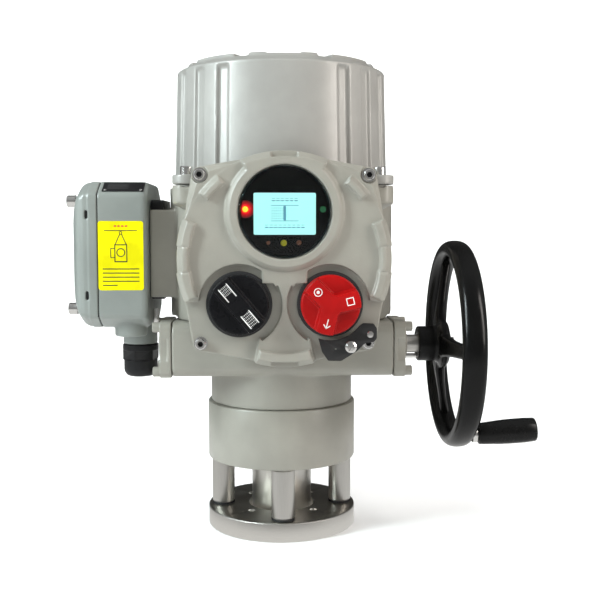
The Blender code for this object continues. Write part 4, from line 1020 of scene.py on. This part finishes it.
def make_handwheel():
    middle = 118 - 9.5
    section = []
    for i in range(40):
        c, s = cos(TURN * i / 40), sin(TURN * i / 40)
        section.append((middle + 9.5 * copysign(abs(c) ** FULLNESS, c),
            197 - 13.1 * copysign(abs(s) ** FULLNESS, s)))
    rim = lathe("handwheel_rim", section, 192)
    piece(on_worm(rim), "gloss", "handwheel", ["handwheel"])
    hub = lathe("handwheel_spokes", [(10.4, 154.2), (18.6, 154.2), (19.9, 155.5), (19.9, 174),
        (21.5, 177.5), (28, 180), (29, 185), (24, 189), (19, 189.8), (10.4, 189.8)], 96)
    spokes = []
    for i in range(3):
        rings = []
        for reach, half, low, high in ((20, 13, 177, 188.5), (32, 11.5, 177.5, 189),
                                       (50, 9.2, 181.5, 191.5), (75, 8, 187.2, 196.2),
                                       (103, 8.8, 192, 203)):
            flat = rounded_rectangle(half, (high - low) / 2, 3, 4)
            rings.append([(reach, x, (low + high) / 2 + y) for x, y in flat])
        spokes.append(spun(loft("spoke", rings), 120 * i - 90))
    add(hub, *spokes)
    grooves = []
    for i in range(3):
        rings = []
        for reach, low in ((34, 186.8), (50, 189.3), (75, 194), (97, 198.5)):
            flat = rounded_rectangle(4.2, 6, 3, 4)
            rings.append([(reach, x, low + 6 + y) for x, y in flat])
        grooves.append(spun(loft("groove", rings), 120 * i - 90))
    cut(hub, *grooves)
    piece(on_worm(cast(hub, 0.9, 5)), "gloss", "handwheel")
    washer = lathe("handwheel_washer", [(0, 189.9), (13.5, 189.9), (13.5, 191.5), (13, 192), (0, 192)],
        64)
    piece(on_worm(washer), "bolt", "handwheel")
    head = disc("handwheel_bolt", 7.5, 192, 197.2, segments=6)
    piece(on_worm(bevel(head, 0.5, 2)), "bolt", "handwheel")
    shaft = lathe("bright_shaft", [(0, 98), (10.25, 98), (10.25, 181.8), (0, 181.8)], 96)
    piece(on_worm(shaft), "steel", "handwheel", slot="steel")


def make_grip():
    angle, tilt, reach = radians(28), radians(4), 118 - 9.5
    at = Vector((197, WORM_Y - reach * sin(angle), WORM_Z - reach * cos(angle)))
    place = Matrix.Translation(at * MM) @ Matrix.Rotation(pi / 2 - tilt, 4, "Y")
    spindle = lathe("grip_spindle_round", [(0, 11), (9, 11), (9, 16.8), (8.5, 17.4), (5, 17.4), (5, 76.9),
        (0, 76.9)], 48)
    spindle.data.transform(place)
    piece(spindle, "bolt", "handwheel", ["grip_spindle"], "steel")
    profile = [(5.3, 17.9), (5.3, 77.2), (0, 77.2), (0, 81.9), (11.2, 81.9), (12.3, 81.4), (13, 80),
        (13.5, 70), (13.6, 60), (13.5, 48), (13.1, 40), (12.4, 30), (11.6, 19), (11, 17.9)]
    grip = lathe("grip_sleeve", profile, 96)
    grip.data.transform(place)
    piece(grip, "satin", "grip", ["handle_grip"])


# --- output drive

def make_output():
    sleeve = lathe("output_sleeve", [(28, 300), (28, 150), (40, 150), (40, 122), (35.4, 122), (35.4, 3.5),
        (35, 3), (27.2, 3), (27.2, 62), (20.2, 62), (20.2, 300)], 128)
    piece(sleeve, "steel", "output", ["drive_sleeve"])
    nut = lathe("stem_nut_blank", [(0, 1), (25.5, 1), (26.3, 1.8), (26.3, 59.9), (0, 59.9)], 96)
    piece(nut, "bronze", "output", ["stem_nut"])


# --- stage

def area_light(name, at, target, size, power, color=(1, 1, 1), shine=1.0):
    light = bpy.data.lights.new(name, "AREA")
    light.specular_factor = shine
    light.shape = "RECTANGLE"
    light.size, light.size_y = size
    light.energy = power
    light.color = color
    lamp = new_object(name, light)
    lamp.location = at
    lamp.visible_glossy = shine > 0.5
    lamp.rotation_euler = (Vector(target) - Vector(at)).to_track_quat("-Z", "Y").to_euler()


def make_stage():
    profile = [(-1.6, 0.0), (0.9, 0.0)]
    profile += [(0.9 + 0.5 * sin(radians(a)), 0.5 - 0.5 * cos(radians(a))) for a in range(6, 91, 6)]
    profile.append((1.4, 2.6))
    points = [(x / MM, y / MM, z / MM) for y, z in profile for x in (-3.0, 3.0)]
    faces = [(2 * i, 2 * i + 1, 2 * i + 3, 2 * i + 2) for i in range(len(profile) - 1)]
    floor = mesh_from("floor", points, faces)
    floor.data.shade_smooth()
    floor.data.materials.append(Nodes("floor", (0.93, 0.93, 0.93), 0.6).material)
    floor.visible_glossy = False
    make_world()
    bpy.context.scene.view_settings.view_transform = "Standard"
    middle = (0, 0, 0.3)
    area_light("key", (-1.5, -0.8, 1.2), middle, (0.35, 1.2), 42, (0.86, 0.98, 1))
    area_light("fill", (1.5, -0.9, 1.0), middle, (0.4, 1.4), 19, (1, 0.95, 0.90))
    area_light("front", (0.1, -1.5, 1.7), middle, (1.0, 0.6), 9, (1, 0.99, 0.96), 0.3)
    area_light("back", (0.0, 0.5, 1.7), (0, 1.4, 1.0), (2.6, 0.8), 30, shine=0)


def make_world():
    """A room with pale sides, a darker front and back, and a pale floor in front."""
    world = bpy.data.worlds.new("world")
    world.use_nodes = True
    nodes, link = world.node_tree.nodes, world.node_tree.links.new
    place = nodes.new("ShaderNodeTexCoord")
    split = nodes.new("ShaderNodeSeparateXYZ")
    ramp = nodes.new("ShaderNodeValToRGB")
    change = nodes.new("ShaderNodeMapRange")
    change.inputs["From Min"].default_value = -1
    link(place.outputs["Generated"], split.inputs["Vector"])
    link(split.outputs["Y"], change.inputs["Value"])
    link(change.outputs["Result"], ramp.inputs["Fac"])
    stops = ramp.color_ramp.elements
    stops[0].position, stops[0].color = 0.15, (0.50, 0.50, 0.49, 1)
    stops[1].position, stops[1].color = 0.85, (0.16, 0.16, 0.155, 1)
    stops.new(0.5).color = (1, 1, 1, 1)
    low = nodes.new("ShaderNodeMapRange")
    low.inputs["From Min"].default_value = -0.10
    low.inputs["From Max"].default_value = -0.30
    link(split.outputs["Z"], low.inputs["Value"])
    floor = nodes.new("ShaderNodeMix")
    floor.data_type = "RGBA"
    factor, color_a, color_b = (floor.inputs[i] for i in (0, 6, 7))
    color_b.default_value = (1.9, 1.9, 1.87, 1)
    link(low.outputs["Result"], factor)
    link(ramp.outputs["Color"], color_a)
    link(floor.outputs[2], nodes["Background"].inputs["Color"])
    nodes["Background"].inputs["Strength"].default_value = 0.42
    bpy.context.scene.world = world


def make_camera():
    camera = bpy.data.cameras.new("camera")
    camera.lens = 55.5
    camera.sensor_width = 36
    obj = new_object("camera", camera)
    obj.location = (-0.0256, -1.10, 0.355)
    obj.rotation_euler = (radians(90 - 4.6), 0, radians(-2.49))
    bpy.context.scene.camera = obj


def paint_inner_parts():
    """The solids that no piece replaces keep their shape and get their material."""
    looks = {"stem_nut": "bronze", "worm_wheel": "bronze", "motor_stator": "copper",
        "control_board": "board", "terminal_block": "strip", "bell_gasket": "rubber",
        "front_gasket": "rubber", "terminal_gasket": "rubber", "stop_pin": "bolt"}
    for name, node in NODES.items():
        if name not in REPLACED:
            node.data.materials.clear()
            node.data.materials.append(PAINT[looks.get(name, "inner")])


def main():
    for make in (make_camera, make_stage, make_base, make_thrust_base, make_gearbox,
        make_control_housing, make_bell, make_front_cover, make_display, make_knobs, make_lever,
        make_terminal_box, make_terminal_fittings, make_label, make_nameplate, make_handwheel,
        make_grip, make_output):
        make()
    paint_inner_parts()


main()
